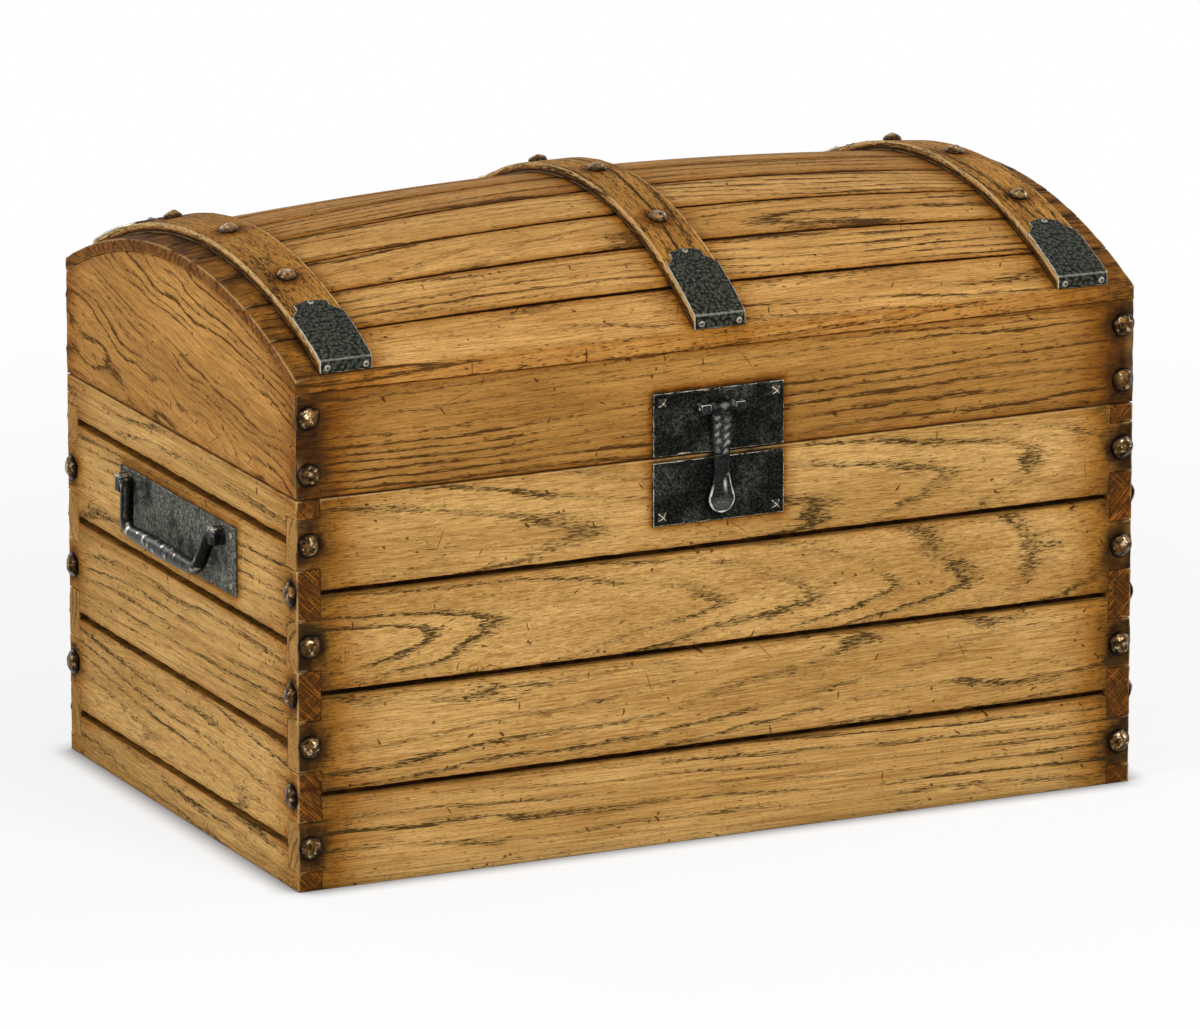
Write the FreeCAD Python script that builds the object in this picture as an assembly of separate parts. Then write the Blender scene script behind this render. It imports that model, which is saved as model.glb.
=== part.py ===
import FreeCAD, Part
import math
import os
from FreeCAD import Placement, Rotation, Vector

# An oak trunk with a domed lid of bent staves. Sizes are in millimetres and angles in degrees.
# The origin is on the floor under the middle of the trunk, the front looks along -Y and +Z is up.

# The box, of boards whose ends are cut into meshing fingers
body_width = 900.0
body_depth = 560.0
board_thickness = 25.0
finger_height = 50.0
end_finger_height = 18.5
front_board_count = 4
finger_fit = 0.2
groove_width = 7.0
lap_height = 6.0
lap_fit = 0.4

# The bottom and the cleats under it
cleat_height = 20.0
cleat_width = 22.0
panel_thickness = 14.0
panel_fit = 1.0

# The lid: mitred boards below, bent staves above, bowed across and along the trunk
seam_gap = 1.0
dome_edge_height = 117.0
dome_rise_ends = 65.0
dome_rise_middle = 93.0
stave_count = 9
stave_thickness = 12.0
stave_joint = 0.2
stave_groove_depth = 5.0
stave_groove_ends = 1.6
stave_groove_middle = 4.0
stave_seat = 0.25
dome_station_count = 7

# Bent oak straps over the staves, and the iron caps on their ends
strap_width = 54.0
strap_thickness = 10.0
strap_inset = 55.0
strap_setback = 6.5
strap_seat = 0.25
cap_thickness = 2.5
cap_fit = 0.2
cap_length = 72.0
cap_lift = 1.0
cap_shoulder = 8.0
tab_length = 15.0
tab_width = 34.0
tab_crown = 5.0

# Forged studs
stud_radius = 12.0
stud_height = 8.5
stud_rim = 2.0
stud_shank_radius = 2.5
stud_shank_length = 18.0
lid_stud_margin = 24.0
strap_stud_margin = 143.0
shank_fit = 0.03
drill_extra = 1.0

# Small nails in the iron, some with pyramid heads
nail_head_radius = 3.2
nail_head_height = 1.8
nail_shank_radius = 1.4
nail_length = 12.0
cap_nail_length = 8.0
cap_nail_spacing = 40.0
cap_nail_rise = 6.0
pyramid_side = 9.0
pyramid_height = 4.5

# The hasp and its two plates
hasp_offset = -4.5
hasp_plate_width = 140.0
hasp_plate_thickness = 3.0
upper_plate_height = 62.5
lower_plate_height = 63.0
upper_plate_rise = 1.5
lower_plate_drop = 3.5
hasp_nail_inset = 9.0
hasp_pin_inset = 18.0
hasp_pin_radius = 2.5
hasp_pin_proud = 1.0
hasp_barrel_radius = 5.5
hasp_barrel_length = 26.0
hasp_gap = 0.6
hasp_thickness = 3.5
hasp_top_width = 23.0
hasp_neck_width = 14.5
hasp_neck_drop = 60.0
hasp_pull_radius = 13.5
hasp_pull_drop = 91.0
hasp_dish_depth = 1.2
hasp_lug_width = 10.0
hasp_lug_gap = 0.5

# The end handles: a plate, two lugs and a bail whose turned ends are its pivots
handle_plate_length = 280.0
handle_plate_height = 68.0
handle_plate_thickness = 3.0
handle_nail_inset = 9.0
handle_pivot_inset = 11.5
handle_stand_off = 8.5
bail_drop = 41.0
bail_taper = 15.0
bail_lean = 13.0
bail_rod_radius = 5.5
bail_grip_radius = 7.5
bail_elbow_radius = 7.5
bail_corner_radius = 18.0
bail_end_radius = 3.5
bail_end_proud = 2.0
handle_lug_inset = 21.0
handle_lug_width = 11.0
handle_lug_height = 18.0
handle_lug_wall = 3.0
handle_lug_gap = 0.6

# Hinges at the back
hinge_inset = 170.0
hinge_length = 60.0
hinge_leaf_height = 56.0
hinge_leaf_thickness = 2.5
knuckle_radius = 6.0
knuckle_gap = 0.4
knuckle_clear = 1.0
hinge_stand_off = 0.5
hinge_pin_radius = 3.0
hinge_pin_head_radius = 4.5
hinge_pin_head = 2.0
hinge_nail_inset = 10.0

# The lid stay inside the right end: both its pins are equally far from the hinge line
stay_reach = 125.0
stay_half_angle = 25.0
lid_opening = 95.0
stay_thickness = 3.0
stay_width = 18.0
stay_stand_off = 2.5
stay_pin_radius = 4.0
stay_collar_radius = 7.0
stay_head_radius = 7.5
stay_head = 2.5
stay_side_clear = 0.4
stay_pin_depth = 15.0
stay_slot_clear = 0.3
stay_end_margin = 10.0

# A pin that turns in its hole
running_fit = 0.05

# Levels and faces that the pieces share
half_width = body_width / 2
half_depth = body_depth / 2
body_height = (2 * front_board_count - 1) * finger_height + 2 * end_finger_height
lid_bottom = body_height + seam_gap
dome_edge = lid_bottom + dome_edge_height
inner_x = half_width - board_thickness
inner_y = half_depth - board_thickness
strap_bottom = strap_seat
strap_top = strap_bottom + strap_thickness
cap_bottom = strap_top + cap_fit
cap_top = cap_bottom + cap_thickness
cap_out = cap_fit + cap_thickness
cap_reach = cap_length + cap_shoulder + tab_length
strap_stud_spacing = half_depth - strap_stud_margin
nodes = {}


def box(x0, x1, y0, y1, z0, z1):
    return Part.makeBox(x1 - x0, y1 - y0, z1 - z0, Vector(x0, y0, z0))


def prism(corners, z0, z1):
    wire = Part.makePolygon([Vector(x, y, z0) for x, y in corners + corners[:1]])
    return Part.Face(wire).extrude(Vector(0, 0, z1 - z0))


def rod(start, end, radius):
    run = end - start
    return Part.makeCylinder(radius, run.Length, start, run)


def turned(edges):
    """Solid of revolution about Z, from edges in the XZ plane."""
    return Part.Face(Part.Wire(edges)).revolve(Vector(0, 0, 0), Vector(0, 0, 1), 360)


def line(p, q):
    return Part.makeLine(p, q)


def path(points):
    return [line(p, q) for p, q in zip(points, points[1:])]


def set_on(shape, spot):
    """A copy of a shape made on the XY plane, standing on a face at a spot: (point, outward normal)."""
    point, outward = spot
    copy = shape.copy()
    copy.Placement = Placement(point, Rotation(Vector(0, 0, 1), outward))
    return copy


def drilled(shape, spots, radius, depth):
    """The shape with holes that run inwards from the spots."""
    for point, outward in spots:
        mouth = point + outward * drill_extra
        shape = shape.cut(rod(mouth, point - outward * (depth + drill_extra), radius))
    return shape


def joined(solids):
    whole = solids[0].multiFuse(solids[1:]) if len(solids) > 1 else solids[0]
    return whole.removeSplitter()


def moved(shape, placement):
    copy = shape.copy()
    copy.Placement = placement * shape.Placement
    return copy


def moved_spot(spot, placement):
    point, outward = spot
    return placement.multVec(point), placement.Rotation.multVec(outward)


# Studs and nails stand on the XY plane, with the shank below it
def headed_nail(head_radius, rim, head_height, shank_radius, length):
    dome = head_height - rim
    ball = (head_radius ** 2 + dome ** 2) / (2 * dome)
    half_angle = math.asin(head_radius / ball) / 2
    crown_mid = Vector(
        ball * math.sin(half_angle), 0, head_height - ball + ball * math.cos(half_angle))
    crown = Part.Arc(Vector(head_radius, 0, rim), crown_mid, Vector(0, 0, head_height)).toShape()
    sides = path([
        Vector(0, 0, head_height), Vector(0, 0, -length), Vector(shank_radius, 0, -length),
        Vector(shank_radius, 0, 0), Vector(head_radius, 0, 0), Vector(head_radius, 0, rim)])
    return turned(sides + [crown])


def pyramid_nail(side, height, shank_radius, length):
    half = side / 2
    foot = [Vector(-half, -half, 0), Vector(half, -half, 0), Vector(half, half, 0), Vector(-half, half, 0)]
    tip = Vector(0, 0, height)
    faces = [Part.Face(Part.makePolygon(foot + foot[:1]))]
    for p, q in zip(foot, foot[1:] + foot[:1]):
        faces.append(Part.Face(Part.makePolygon([p, q, tip, p])))
    head = Part.Solid(Part.Shell(faces))
    return head.fuse(Part.makeCylinder(shank_radius, length, Vector(0, 0, -length)))


stud = headed_nail(stud_radius, stud_rim, stud_height, stud_shank_radius, stud_shank_length)
nail = headed_nail(
    nail_head_radius, nail_head_height / 4, nail_head_height, nail_shank_radius, nail_length)
cap_nail = headed_nail(
    nail_head_radius, nail_head_height / 4, nail_head_height, nail_shank_radius, cap_nail_length)
hasp_nail = pyramid_nail(pyramid_side, pyramid_height, nail_shank_radius, nail_length)
stud_hole = stud_shank_radius + shank_fit
nail_hole = nail_shank_radius + shank_fit
stud_hole_depth = stud_shank_length + drill_extra
nail_hole_depth = nail_length + drill_extra
body_studs = []
body_nails = []
lid_nails = []


# Walls: each board is made with its outer face on the XZ plane, then turned to its side
front_fingers = [
    (end_finger_height + 2 * k * finger_height, end_finger_height + (2 * k + 1) * finger_height)
    for k in range(front_board_count)]
end_fingers = [(0, end_finger_height)]
end_fingers += [(low[1], high[0]) for low, high in zip(front_fingers, front_fingers[1:])]
end_fingers += [(body_height - end_finger_height, body_height)]
front_edges = [0] + [sum(finger) / 2 for finger in end_fingers[1:-1]] + [body_height]
end_edges = [0] + [sum(finger) / 2 for finger in front_fingers] + [body_height]


def wall_board(length, low, high, finger):
    """One board of a wall, lapped over its neighbours behind an open groove."""
    half = length / 2
    shoulder = half - board_thickness
    mid = board_thickness / 2
    first = low == 0
    last = high == body_height
    face_low = low if first else low + groove_width / 2
    face_high = high if last else high - groove_width / 2
    back_low = low if first else low + lap_height + lap_fit / 2
    back_high = high if last else high + lap_height - lap_fit / 2
    finger_low = finger[0] if finger[0] == 0 else finger[0] + finger_fit / 2
    finger_high = finger[1] if finger[1] == body_height else finger[1] - finger_fit / 2
    return joined([
        box(-shoulder, shoulder, 0, mid, face_low, face_high),
        box(-shoulder, shoulder, mid, board_thickness, back_low, back_high),
        box(-half, -shoulder, 0, board_thickness, finger_low, finger_high),
        box(shoulder, half, 0, board_thickness, finger_low, finger_high)])


def wall(name, length, edges, fingers, turn, distance):
    """All the boards of one wall, each with a stud in every full finger."""
    rotation = Rotation(Vector(0, 0, 1), turn)
    placement = Placement(rotation.multVec(Vector(0, -distance, 0)), rotation)
    for number, finger in enumerate(fingers):
        board = wall_board(length, edges[number], edges[number + 1], finger)
        spots = []
        if finger[0] > 0 and finger[1] < body_height:
            reach = (length - board_thickness) / 2
            spots = [(Vector(x, 0, sum(finger) / 2), Vector(0, -1, 0)) for x in (-reach, reach)]
        board = drilled(board, spots, stud_hole, stud_hole_depth)
        nodes[f"{name}_board_{number + 1}"] = moved(board, placement)
        for spot in spots:
            body_studs.append(set_on(stud, moved_spot(spot, placement)))


wall("front", body_width, front_edges, front_fingers, 0, half_depth)
wall("back", body_width, front_edges, front_fingers, 180, half_depth)
wall("left", body_depth, end_edges, end_fingers, -90, half_width)
wall("right", body_depth, end_edges, end_fingers, 90, half_width)
nodes["body_studs"] = Part.makeCompound(body_studs)


# Bottom panel, lying on cleats along the walls and on a middle batten
cleat_y = inner_y - cleat_width
nodes["bottom_cleats"] = Part.makeCompound([
    box(-inner_x, inner_x, -inner_y, -cleat_y, 0, cleat_height),
    box(-inner_x, inner_x, cleat_y, inner_y, 0, cleat_height),
    box(-inner_x, -inner_x + cleat_width, -cleat_y, cleat_y, 0, cleat_height),
    box(inner_x - cleat_width, inner_x, -cleat_y, cleat_y, 0, cleat_height),
    box(-cleat_width, cleat_width, -cleat_y, cleat_y, 0, cleat_height)])
nodes["bottom_panel"] = box(
    -inner_x + panel_fit, inner_x - panel_fit, -inner_y + panel_fit, inner_y - panel_fit,
    cleat_height, cleat_height + panel_thickness)


# The dome: at each x its section is an arc through both edges, highest in the middle of the trunk
def dome_arc(x):
    """Radius and centre height of the dome's outer arc."""
    rise = dome_rise_middle - (dome_rise_middle - dome_rise_ends) * (x / half_width) ** 2
    radius = (half_depth ** 2 + rise ** 2) / (2 * rise)
    return radius, dome_edge + rise - radius


def dome_point(x, offset, angle):
    """Point at an offset outside the dome; the angle is in radians from straight up, towards +Y."""
    radius, centre = dome_arc(x)
    return Vector(x, (radius + offset) * math.sin(angle), centre + (radius + offset) * math.cos(angle))


def dome_angle(x, offset, y):
    return math.asin(y / (dome_arc(x)[0] + offset))


def dome_normal(x, offset, angle):
    step = 0.001
    along = dome_point(x + step, offset, angle) - dome_point(x - step, offset, angle)
    across = dome_point(x, offset, angle + step) - dome_point(x, offset, angle - step)
    return along.cross(across).normalize()


def bow(x, offset, start, end):
    return Part.Arc(
        dome_point(x, offset, start), dome_point(x, offset, (start + end) / 2),
        dome_point(x, offset, end)).toShape()


def stations(low, high, count):
    return [low + (high - low) * k / (count - 1) for k in range(count)]


def stave_section(x, number):
    radius = dome_arc(x)[0]
    edge = dome_angle(x, 0, half_depth)
    inner_edge = dome_angle(x, -stave_thickness, half_depth)
    pitch = 2 * edge / stave_count
    left = -edge + number * pitch
    right = left + pitch
    groove = stave_groove_middle - (stave_groove_middle - stave_groove_ends) * (x / half_width) ** 2
    joint = stave_joint / 2 / radius
    shoulder = groove / 2 / radius
    near = [
        (-stave_thickness, left + joint), (-stave_groove_depth, left + joint),
        (-stave_groove_depth, left + shoulder), (0, left + shoulder)]
    far = [
        (0, right - shoulder), (-stave_groove_depth, right - shoulder),
        (-stave_groove_depth, right - joint), (-stave_thickness, right - joint)]
    if number == 0:
        near = [(-stave_thickness, -inner_edge), (0, -edge)]
    if number == stave_count - 1:
        far = [(0, edge), (-stave_thickness, inner_edge)]
    edges = path([dome_point(x, offset, angle) for offset, angle in near])
    edges.append(bow(x, 0, near[-1][1], far[0][1]))
    edges += path([dome_point(x, offset, angle) for offset, angle in far])
    edges.append(bow(x, -stave_thickness, far[-1][1], near[0][1]))
    return Part.Wire(edges)


def lofted(wires):
    return Part.makeLoft(wires, True, False)


staves = []
for number in range(stave_count):
    staves.append(lofted([
        stave_section(x, number) for x in stations(-half_width, half_width, dome_station_count)]))


# Boards of the lid: mitred at the corners, with their upper edges shaped to the staves' undersides
def under_dome_section(x):
    offset = -stave_thickness - stave_seat
    edge = dome_angle(x, offset, half_depth + board_thickness)
    floor = lid_bottom - board_thickness
    left = dome_point(x, offset, -edge)
    right = dome_point(x, offset, edge)
    sides = path([right, Vector(x, right.y, floor), Vector(x, left.y, floor), left])
    return Part.Wire([bow(x, offset, -edge, edge)] + sides)


under_dome = lofted([
    under_dome_section(x)
    for x in stations(-half_width - board_thickness, half_width + board_thickness, dome_station_count)])
lid_top = dome_edge + dome_rise_middle


def lid_board(corners):
    return prism(corners, lid_bottom, lid_top).common(under_dome)


lid_boards = {
    "lid_front_board": lid_board([
        (-half_width, -half_depth), (half_width, -half_depth), (inner_x, -inner_y), (-inner_x, -inner_y)]),
    "lid_back_board": lid_board([
        (half_width, half_depth), (-half_width, half_depth), (-inner_x, inner_y), (inner_x, inner_y)]),
    "lid_left_end": lid_board([
        (-half_width, half_depth), (-half_width, -half_depth), (-inner_x, -inner_y), (-inner_x, inner_y)]),
    "lid_right_end": lid_board([
        (half_width, -half_depth), (half_width, half_depth), (inner_x, inner_y), (inner_x, -inner_y)])}

# Studs at both ends of the lid's front and back boards, driven through the mitres
stave_foot = dome_angle(half_width, -stave_thickness, half_depth)
lid_board_top = dome_point(half_width, -stave_thickness, stave_foot).z
lid_corner_spots = [
    (Vector(side * (half_width - board_thickness / 2), face * half_depth, z), Vector(0, face, 0))
    for side in (-1, 1) for face in (-1, 1)
    for z in (lid_bottom + lid_stud_margin, lid_board_top - lid_stud_margin)]
for name, board in lid_boards.items():
    lid_boards[name] = drilled(board, lid_corner_spots, stud_hole, stud_hole_depth)
nodes["lid_corner_studs"] = Part.makeCompound([set_on(stud, spot) for spot in lid_corner_spots])


# Straps bent over the dome, studded through into the staves
def strap_end(x, offset, beyond=0):
    """Angle of the upright plane in which a strap stops, or of one this far beyond it."""
    return dome_angle(x, offset, half_depth - strap_setback + beyond)


def strap_section(x):
    top = strap_end(x, strap_top)
    foot = strap_end(x, strap_bottom)
    return Part.Wire([
        bow(x, strap_top, -top, top),
        line(dome_point(x, strap_top, top), dome_point(x, strap_bottom, foot)),
        bow(x, strap_bottom, foot, -foot),
        line(dome_point(x, strap_bottom, -foot), dome_point(x, strap_top, -top))])


def cap_section(x, face):
    """Iron laid on a strap's end and bent down over it, at the front (-1) or the back (1)."""
    tip = strap_end(x, cap_top) - cap_reach / (dome_arc(x)[0] + cap_top)
    drop = [(cap_bottom, cap_fit), (cap_lift, cap_fit), (cap_lift, cap_out), (cap_top, cap_out)]
    drop = [(offset, strap_end(x, offset, beyond)) for offset, beyond in drop]
    edges = [bow(x, cap_bottom, face * tip, face * drop[0][1])]
    edges += path([dome_point(x, offset, face * angle) for offset, angle in drop])
    edges.append(bow(x, cap_top, face * drop[-1][1], face * tip))
    edges.append(line(dome_point(x, cap_top, face * tip), dome_point(x, cap_bottom, face * tip)))
    return Part.Wire(edges)


def cap_outline(x, face):
    """Plan of a cap: as wide as the strap, with slanted shoulders and a narrower tab up the strap."""
    radius = dome_arc(x)[0] + cap_top

    def at(side, run):
        """A point this far to the side of the strap's middle and this far up it from its end."""
        y = radius * math.sin(strap_end(x, cap_top) - run / radius)
        return Vector(x + side, face * y, dome_edge)

    half = strap_width / 2
    tab = tab_width / 2
    neck = cap_length + cap_shoulder
    corner = cap_reach - tab_crown
    sides = path([
        at(tab, corner), at(tab, neck), at(half, cap_length), at(half, -cap_length),
        at(-half, -cap_length), at(-half, cap_length), at(-tab, neck), at(-tab, corner)])
    crown = Part.Arc(at(-tab, corner), at(0, cap_reach), at(tab, corner)).toShape()
    plan = Part.Face(Part.Wire(sides + [crown]))
    plan.translate(Vector(0, 0, -board_thickness))
    return plan.extrude(Vector(0, 0, lid_top - dome_edge + 2 * board_thickness))


def cap_spots(x, face):
    """Nail places of one cap: one in the tab, two in the part that is bent down."""
    radius = dome_arc(x)[0] + cap_top
    tab_angle = face * (strap_end(x, cap_top) - (cap_reach - tab_length / 2) / radius)
    spots = [(dome_point(x, cap_top, tab_angle), dome_normal(x, cap_top, tab_angle))]
    for at in (x - cap_nail_spacing / 2, x + cap_nail_spacing / 2):
        angle = strap_end(at, cap_nail_rise, cap_out)
        spots.append((dome_point(at, cap_nail_rise, face * angle), Vector(0, face, 0)))
    return spots


strap_places = {
    "strap_left": -half_width + strap_inset, "strap_middle": 0.0, "strap_right": half_width - strap_inset}
strap_studs = []
caps = {-1: [], 1: []}
cap_hole_depth = cap_nail_length + drill_extra
for name, x in strap_places.items():
    across = stations(x - strap_width / 2, x + strap_width / 2, 3)
    strap = lofted([strap_section(at) for at in across])
    angles = [dome_angle(x, strap_top, y) for y in (-strap_stud_spacing, 0, strap_stud_spacing)]
    stud_spots = [(dome_point(x, strap_top, a), dome_normal(x, strap_top, a)) for a in angles]
    strap = drilled(strap, stud_spots, stud_hole, stud_hole_depth)
    staves = [drilled(stave, stud_spots, stud_hole, stud_hole_depth) for stave in staves]
    strap_studs += [set_on(stud, spot) for spot in stud_spots]
    for face in (-1, 1):
        spots = cap_spots(x, face)
        cap = lofted([cap_section(at, face) for at in across]).common(cap_outline(x, face))
        caps[face].append(drilled(cap, spots, nail_hole, cap_hole_depth))
        strap = drilled(strap, spots, nail_hole, cap_hole_depth)
        lid_nails += [set_on(cap_nail, spot) for spot in spots]
    nodes[name] = strap
nodes["front_strap_caps"] = Part.makeCompound(caps[-1])
nodes["back_strap_caps"] = Part.makeCompound(caps[1])
nodes["strap_studs"] = Part.makeCompound(strap_studs)
for number, stave in enumerate(staves):
    nodes[f"stave_{number + 1}"] = stave


# Hasp: a plate on the lid with two lugs and a pin, a plate on the body, and the drop hasp between
plate_front = -half_depth - hasp_plate_thickness
hasp_y = plate_front - hasp_gap - hasp_barrel_radius
half_plate = hasp_plate_width / 2
plate_left = hasp_offset - half_plate
plate_right = hasp_offset + half_plate
upper_low = lid_bottom + upper_plate_rise
upper_high = upper_low + upper_plate_height
hasp_z = upper_high - hasp_pin_inset
lower_high = body_height - lower_plate_drop
lower_low = lower_high - lower_plate_height
front_normal = Vector(0, -1, 0)
upper_spots = [
    (Vector(x, plate_front, upper_high - hasp_nail_inset), front_normal)
    for x in (plate_left + hasp_nail_inset, plate_right - hasp_nail_inset)]
lower_spots = [
    (Vector(x, plate_front, lower_low + hasp_nail_inset), front_normal)
    for x in (plate_left + hasp_nail_inset, plate_right - hasp_nail_inset)]
upper_plate = box(plate_left, plate_right, plate_front, -half_depth, upper_low, upper_high)
lower_plate = box(plate_left, plate_right, plate_front, -half_depth, lower_low, lower_high)
nodes["hasp_upper_plate"] = drilled(upper_plate, upper_spots, nail_hole, nail_hole_depth)
nodes["hasp_lower_plate"] = drilled(lower_plate, lower_spots, nail_hole, nail_hole_depth)
lid_boards["lid_front_board"] = drilled(
    lid_boards["lid_front_board"], upper_spots, nail_hole, nail_hole_depth)
for number in range(front_board_count):
    name = f"front_board_{number + 1}"
    nodes[name] = drilled(nodes[name], lower_spots, nail_hole, nail_hole_depth)
lid_nails += [set_on(hasp_nail, spot) for spot in upper_spots]
body_nails += [set_on(hasp_nail, spot) for spot in lower_spots]

lug_start = hasp_barrel_length / 2 + hasp_lug_gap
lug_end = lug_start + hasp_lug_width
hasp_pin_end = lug_end + hasp_pin_proud
lug_half = hasp_lug_width / 2
pin_line = [Vector(hasp_offset + x, hasp_y, hasp_z) for x in (-hasp_pin_end, hasp_pin_end)]
lug_hole = rod(*pin_line, hasp_pin_radius + shank_fit)
nodes["hasp_lugs"] = Part.makeCompound([
    box(x, x + hasp_lug_width, hasp_y - lug_half, plate_front, hasp_z - lug_half, hasp_z + lug_half)
    .cut(lug_hole) for x in (hasp_offset - lug_end, hasp_offset + lug_start)])
nodes["hasp_pin"] = rod(*pin_line, hasp_pin_radius)


def drop_hasp():
    """Barrel, tapering strap and round thumb pull, seen from the front and cut from one thickness."""
    neck_z = hasp_z - hasp_neck_drop
    pull_z = hasp_z - hasp_pull_drop
    half_top = hasp_top_width / 2
    half_neck = hasp_neck_width / 2
    run = math.hypot(half_neck, neck_z - pull_z)
    tangent = math.atan2(neck_z - pull_z, half_neck) - math.acos(hasp_pull_radius / run)
    touch_x = hasp_pull_radius * math.cos(tangent)
    touch_z = pull_z + hasp_pull_radius * math.sin(tangent)
    back = hasp_y + hasp_thickness / 2

    def at(x, z):
        return Vector(hasp_offset + x, back, z)

    outline = path([
        at(-touch_x, touch_z), at(-half_neck, neck_z), at(-half_top, hasp_z),
        at(half_top, hasp_z), at(half_neck, neck_z), at(touch_x, touch_z)])
    outline.append(Part.Arc(
        at(touch_x, touch_z), at(0, pull_z - hasp_pull_radius), at(-touch_x, touch_z)).toShape())
    leaf = Part.Face(Part.Wire(outline)).extrude(Vector(0, -hasp_thickness, 0))
    dish_radius = 0.8 * hasp_pull_radius
    ball = (dish_radius ** 2 + hasp_dish_depth ** 2) / (2 * hasp_dish_depth)
    dish = Part.makeSphere(
        ball, Vector(hasp_offset, back - hasp_thickness + hasp_dish_depth - ball, pull_z))
    half_barrel = Vector(hasp_barrel_length / 2, 0, 0)
    pivot = Vector(hasp_offset, hasp_y, hasp_z)
    barrel = rod(pivot - half_barrel, pivot + half_barrel, hasp_barrel_radius)
    bore = rod(*pin_line, hasp_pin_radius + running_fit)
    return joined([leaf.cut(dish), barrel]).cut(bore)


nodes["hasp"] = drop_hasp()


# End handles, made at the right end and turned half round for the left
plate_face = half_width + handle_plate_thickness
handle_z = (end_edges[-3] + end_edges[-2]) / 2
plate_low = handle_z - handle_plate_height / 2
plate_high = handle_z + handle_plate_height / 2
half_length = handle_plate_length / 2
pivot_x = plate_face + handle_stand_off
pivot_z = plate_high - handle_pivot_inset
handle_lug_end = half_length - handle_lug_inset
handle_lug_start = handle_lug_end - handle_lug_width
bail_shoulder = handle_lug_start - handle_lug_gap
bail_end = handle_lug_end + bail_end_proud
half_turn = Placement(Vector(0, 0, 0), Rotation(Vector(0, 0, 1), 180))


def handle_lug(side):
    lug_low = pivot_z - handle_lug_height / 2
    lug_high = pivot_z + handle_lug_height / 2
    sides = sorted((side * handle_lug_start, side * handle_lug_end))
    block = box(plate_face, pivot_x + bail_end_radius + handle_lug_wall, *sides, lug_low, lug_high)
    hole = rod(
        Vector(pivot_x, -bail_end, pivot_z), Vector(pivot_x, bail_end, pivot_z),
        bail_end_radius + running_fit)
    return block.cut(hole)


def bent(before, corner, after, radius):
    """An arc of the radius that rounds the corner between two other points, as its three points."""
    back = (before - corner).normalize()
    on = (after - corner).normalize()
    half_angle = back.getAngle(on) / 2
    centre = corner + (back + on).normalize() * (radius / math.sin(half_angle))
    reach = radius / math.tan(half_angle)
    middle = centre + (corner - centre).normalize() * radius
    return corner + back * reach, middle, corner + on * reach


def bail():
    """A round bar bent to a U with raked arms, its ends turned down for the lugs and its grip thicker."""
    grip_z = pivot_z - bail_drop
    rake = math.atan2(bail_taper, bail_drop)
    arm_y = bail_shoulder - bail_elbow_radius * math.tan((math.pi / 2 - rake) / 2)

    def at(y, z):
        return Vector(pivot_x, y, z)

    def half(side):
        shoulder = at(side * bail_shoulder, pivot_z)
        arm_top = at(side * arm_y, pivot_z)
        arm_foot = at(side * (arm_y - bail_taper), grip_z)
        elbow = bent(shoulder, arm_top, arm_foot, bail_elbow_radius)
        corner = bent(arm_top, arm_foot, at(0, grip_z), bail_corner_radius)
        bends = [Part.Arc(*elbow).toShape(), line(elbow[2], corner[0]), Part.Arc(*corner).toShape()]
        return bends, corner[2].y

    near_bends, near_grip = half(-1)
    far_bends, far_grip = half(1)
    bar = line(at(near_grip, grip_z), at(far_grip, grip_z))
    route = Part.Wire(Part.__sortEdges__(near_bends + [bar] + far_bends))
    ring = Part.Wire(Part.makeCircle(bail_rod_radius, at(-bail_shoulder, pivot_z), Vector(0, 1, 0)))
    rod_shape = route.makePipeShell([ring], True, False)
    swell = Part.Arc(
        at(near_grip, grip_z + bail_rod_radius), at(0, grip_z + bail_grip_radius),
        at(far_grip, grip_z + bail_rod_radius)).toShape()
    sides = path([
        at(far_grip, grip_z + bail_rod_radius), at(far_grip, grip_z),
        at(near_grip, grip_z), at(near_grip, grip_z + bail_rod_radius)])
    profile = Part.Face(Part.Wire([swell] + sides))
    grip = profile.revolve(at(0, grip_z), Vector(0, 1, 0), 360)
    root_y = bail_shoulder - bail_elbow_radius
    ends = [
        rod(at(side * root_y, pivot_z), at(side * bail_end, pivot_z), bail_end_radius)
        for side in (-1, 1)]
    lean = Placement(Vector(0, 0, 0), Rotation(Vector(0, 1, 0), -bail_lean), at(0, pivot_z))
    return moved(joined([rod_shape, grip] + ends), lean)


handle_spots = [
    (Vector(plate_face, y, z), Vector(1, 0, 0))
    for y in (-half_length + handle_nail_inset, half_length - handle_nail_inset)
    for z in (plate_low + handle_nail_inset, plate_high - handle_nail_inset)]
handle_plate = drilled(
    box(half_width, plate_face, -half_length, half_length, plate_low, plate_high),
    handle_spots, nail_hole, nail_hole_depth)
handle_bail = bail()
lugs = [handle_lug(-1), handle_lug(1)]
for side, placement in (("right", Placement()), ("left", half_turn)):
    spots = [moved_spot(spot, placement) for spot in handle_spots]
    nodes[f"{side}_handle_plate"] = moved(handle_plate, placement)
    nodes[f"{side}_bail"] = moved(handle_bail, placement)
    body_nails += [set_on(nail, spot) for spot in spots]
    for number in range(len(end_fingers)):
        name = f"{side}_board_{number + 1}"
        nodes[name] = drilled(nodes[name], spots, nail_hole, nail_hole_depth)
nodes["handle_lugs"] = Part.makeCompound(lugs + [moved(lug, half_turn) for lug in lugs])


# Hinges at the back: each lower leaf has the two outer knuckles, each upper leaf the middle one
hinge_y = half_depth + hinge_stand_off + knuckle_radius
hinge_z = body_height + seam_gap / 2
hinge_places = (-half_width + hinge_inset, half_width - hinge_inset)
knuckle_pitch = hinge_length / 3
leaf_back = half_depth + hinge_leaf_thickness
leaf_start = knuckle_radius + knuckle_clear


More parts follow.
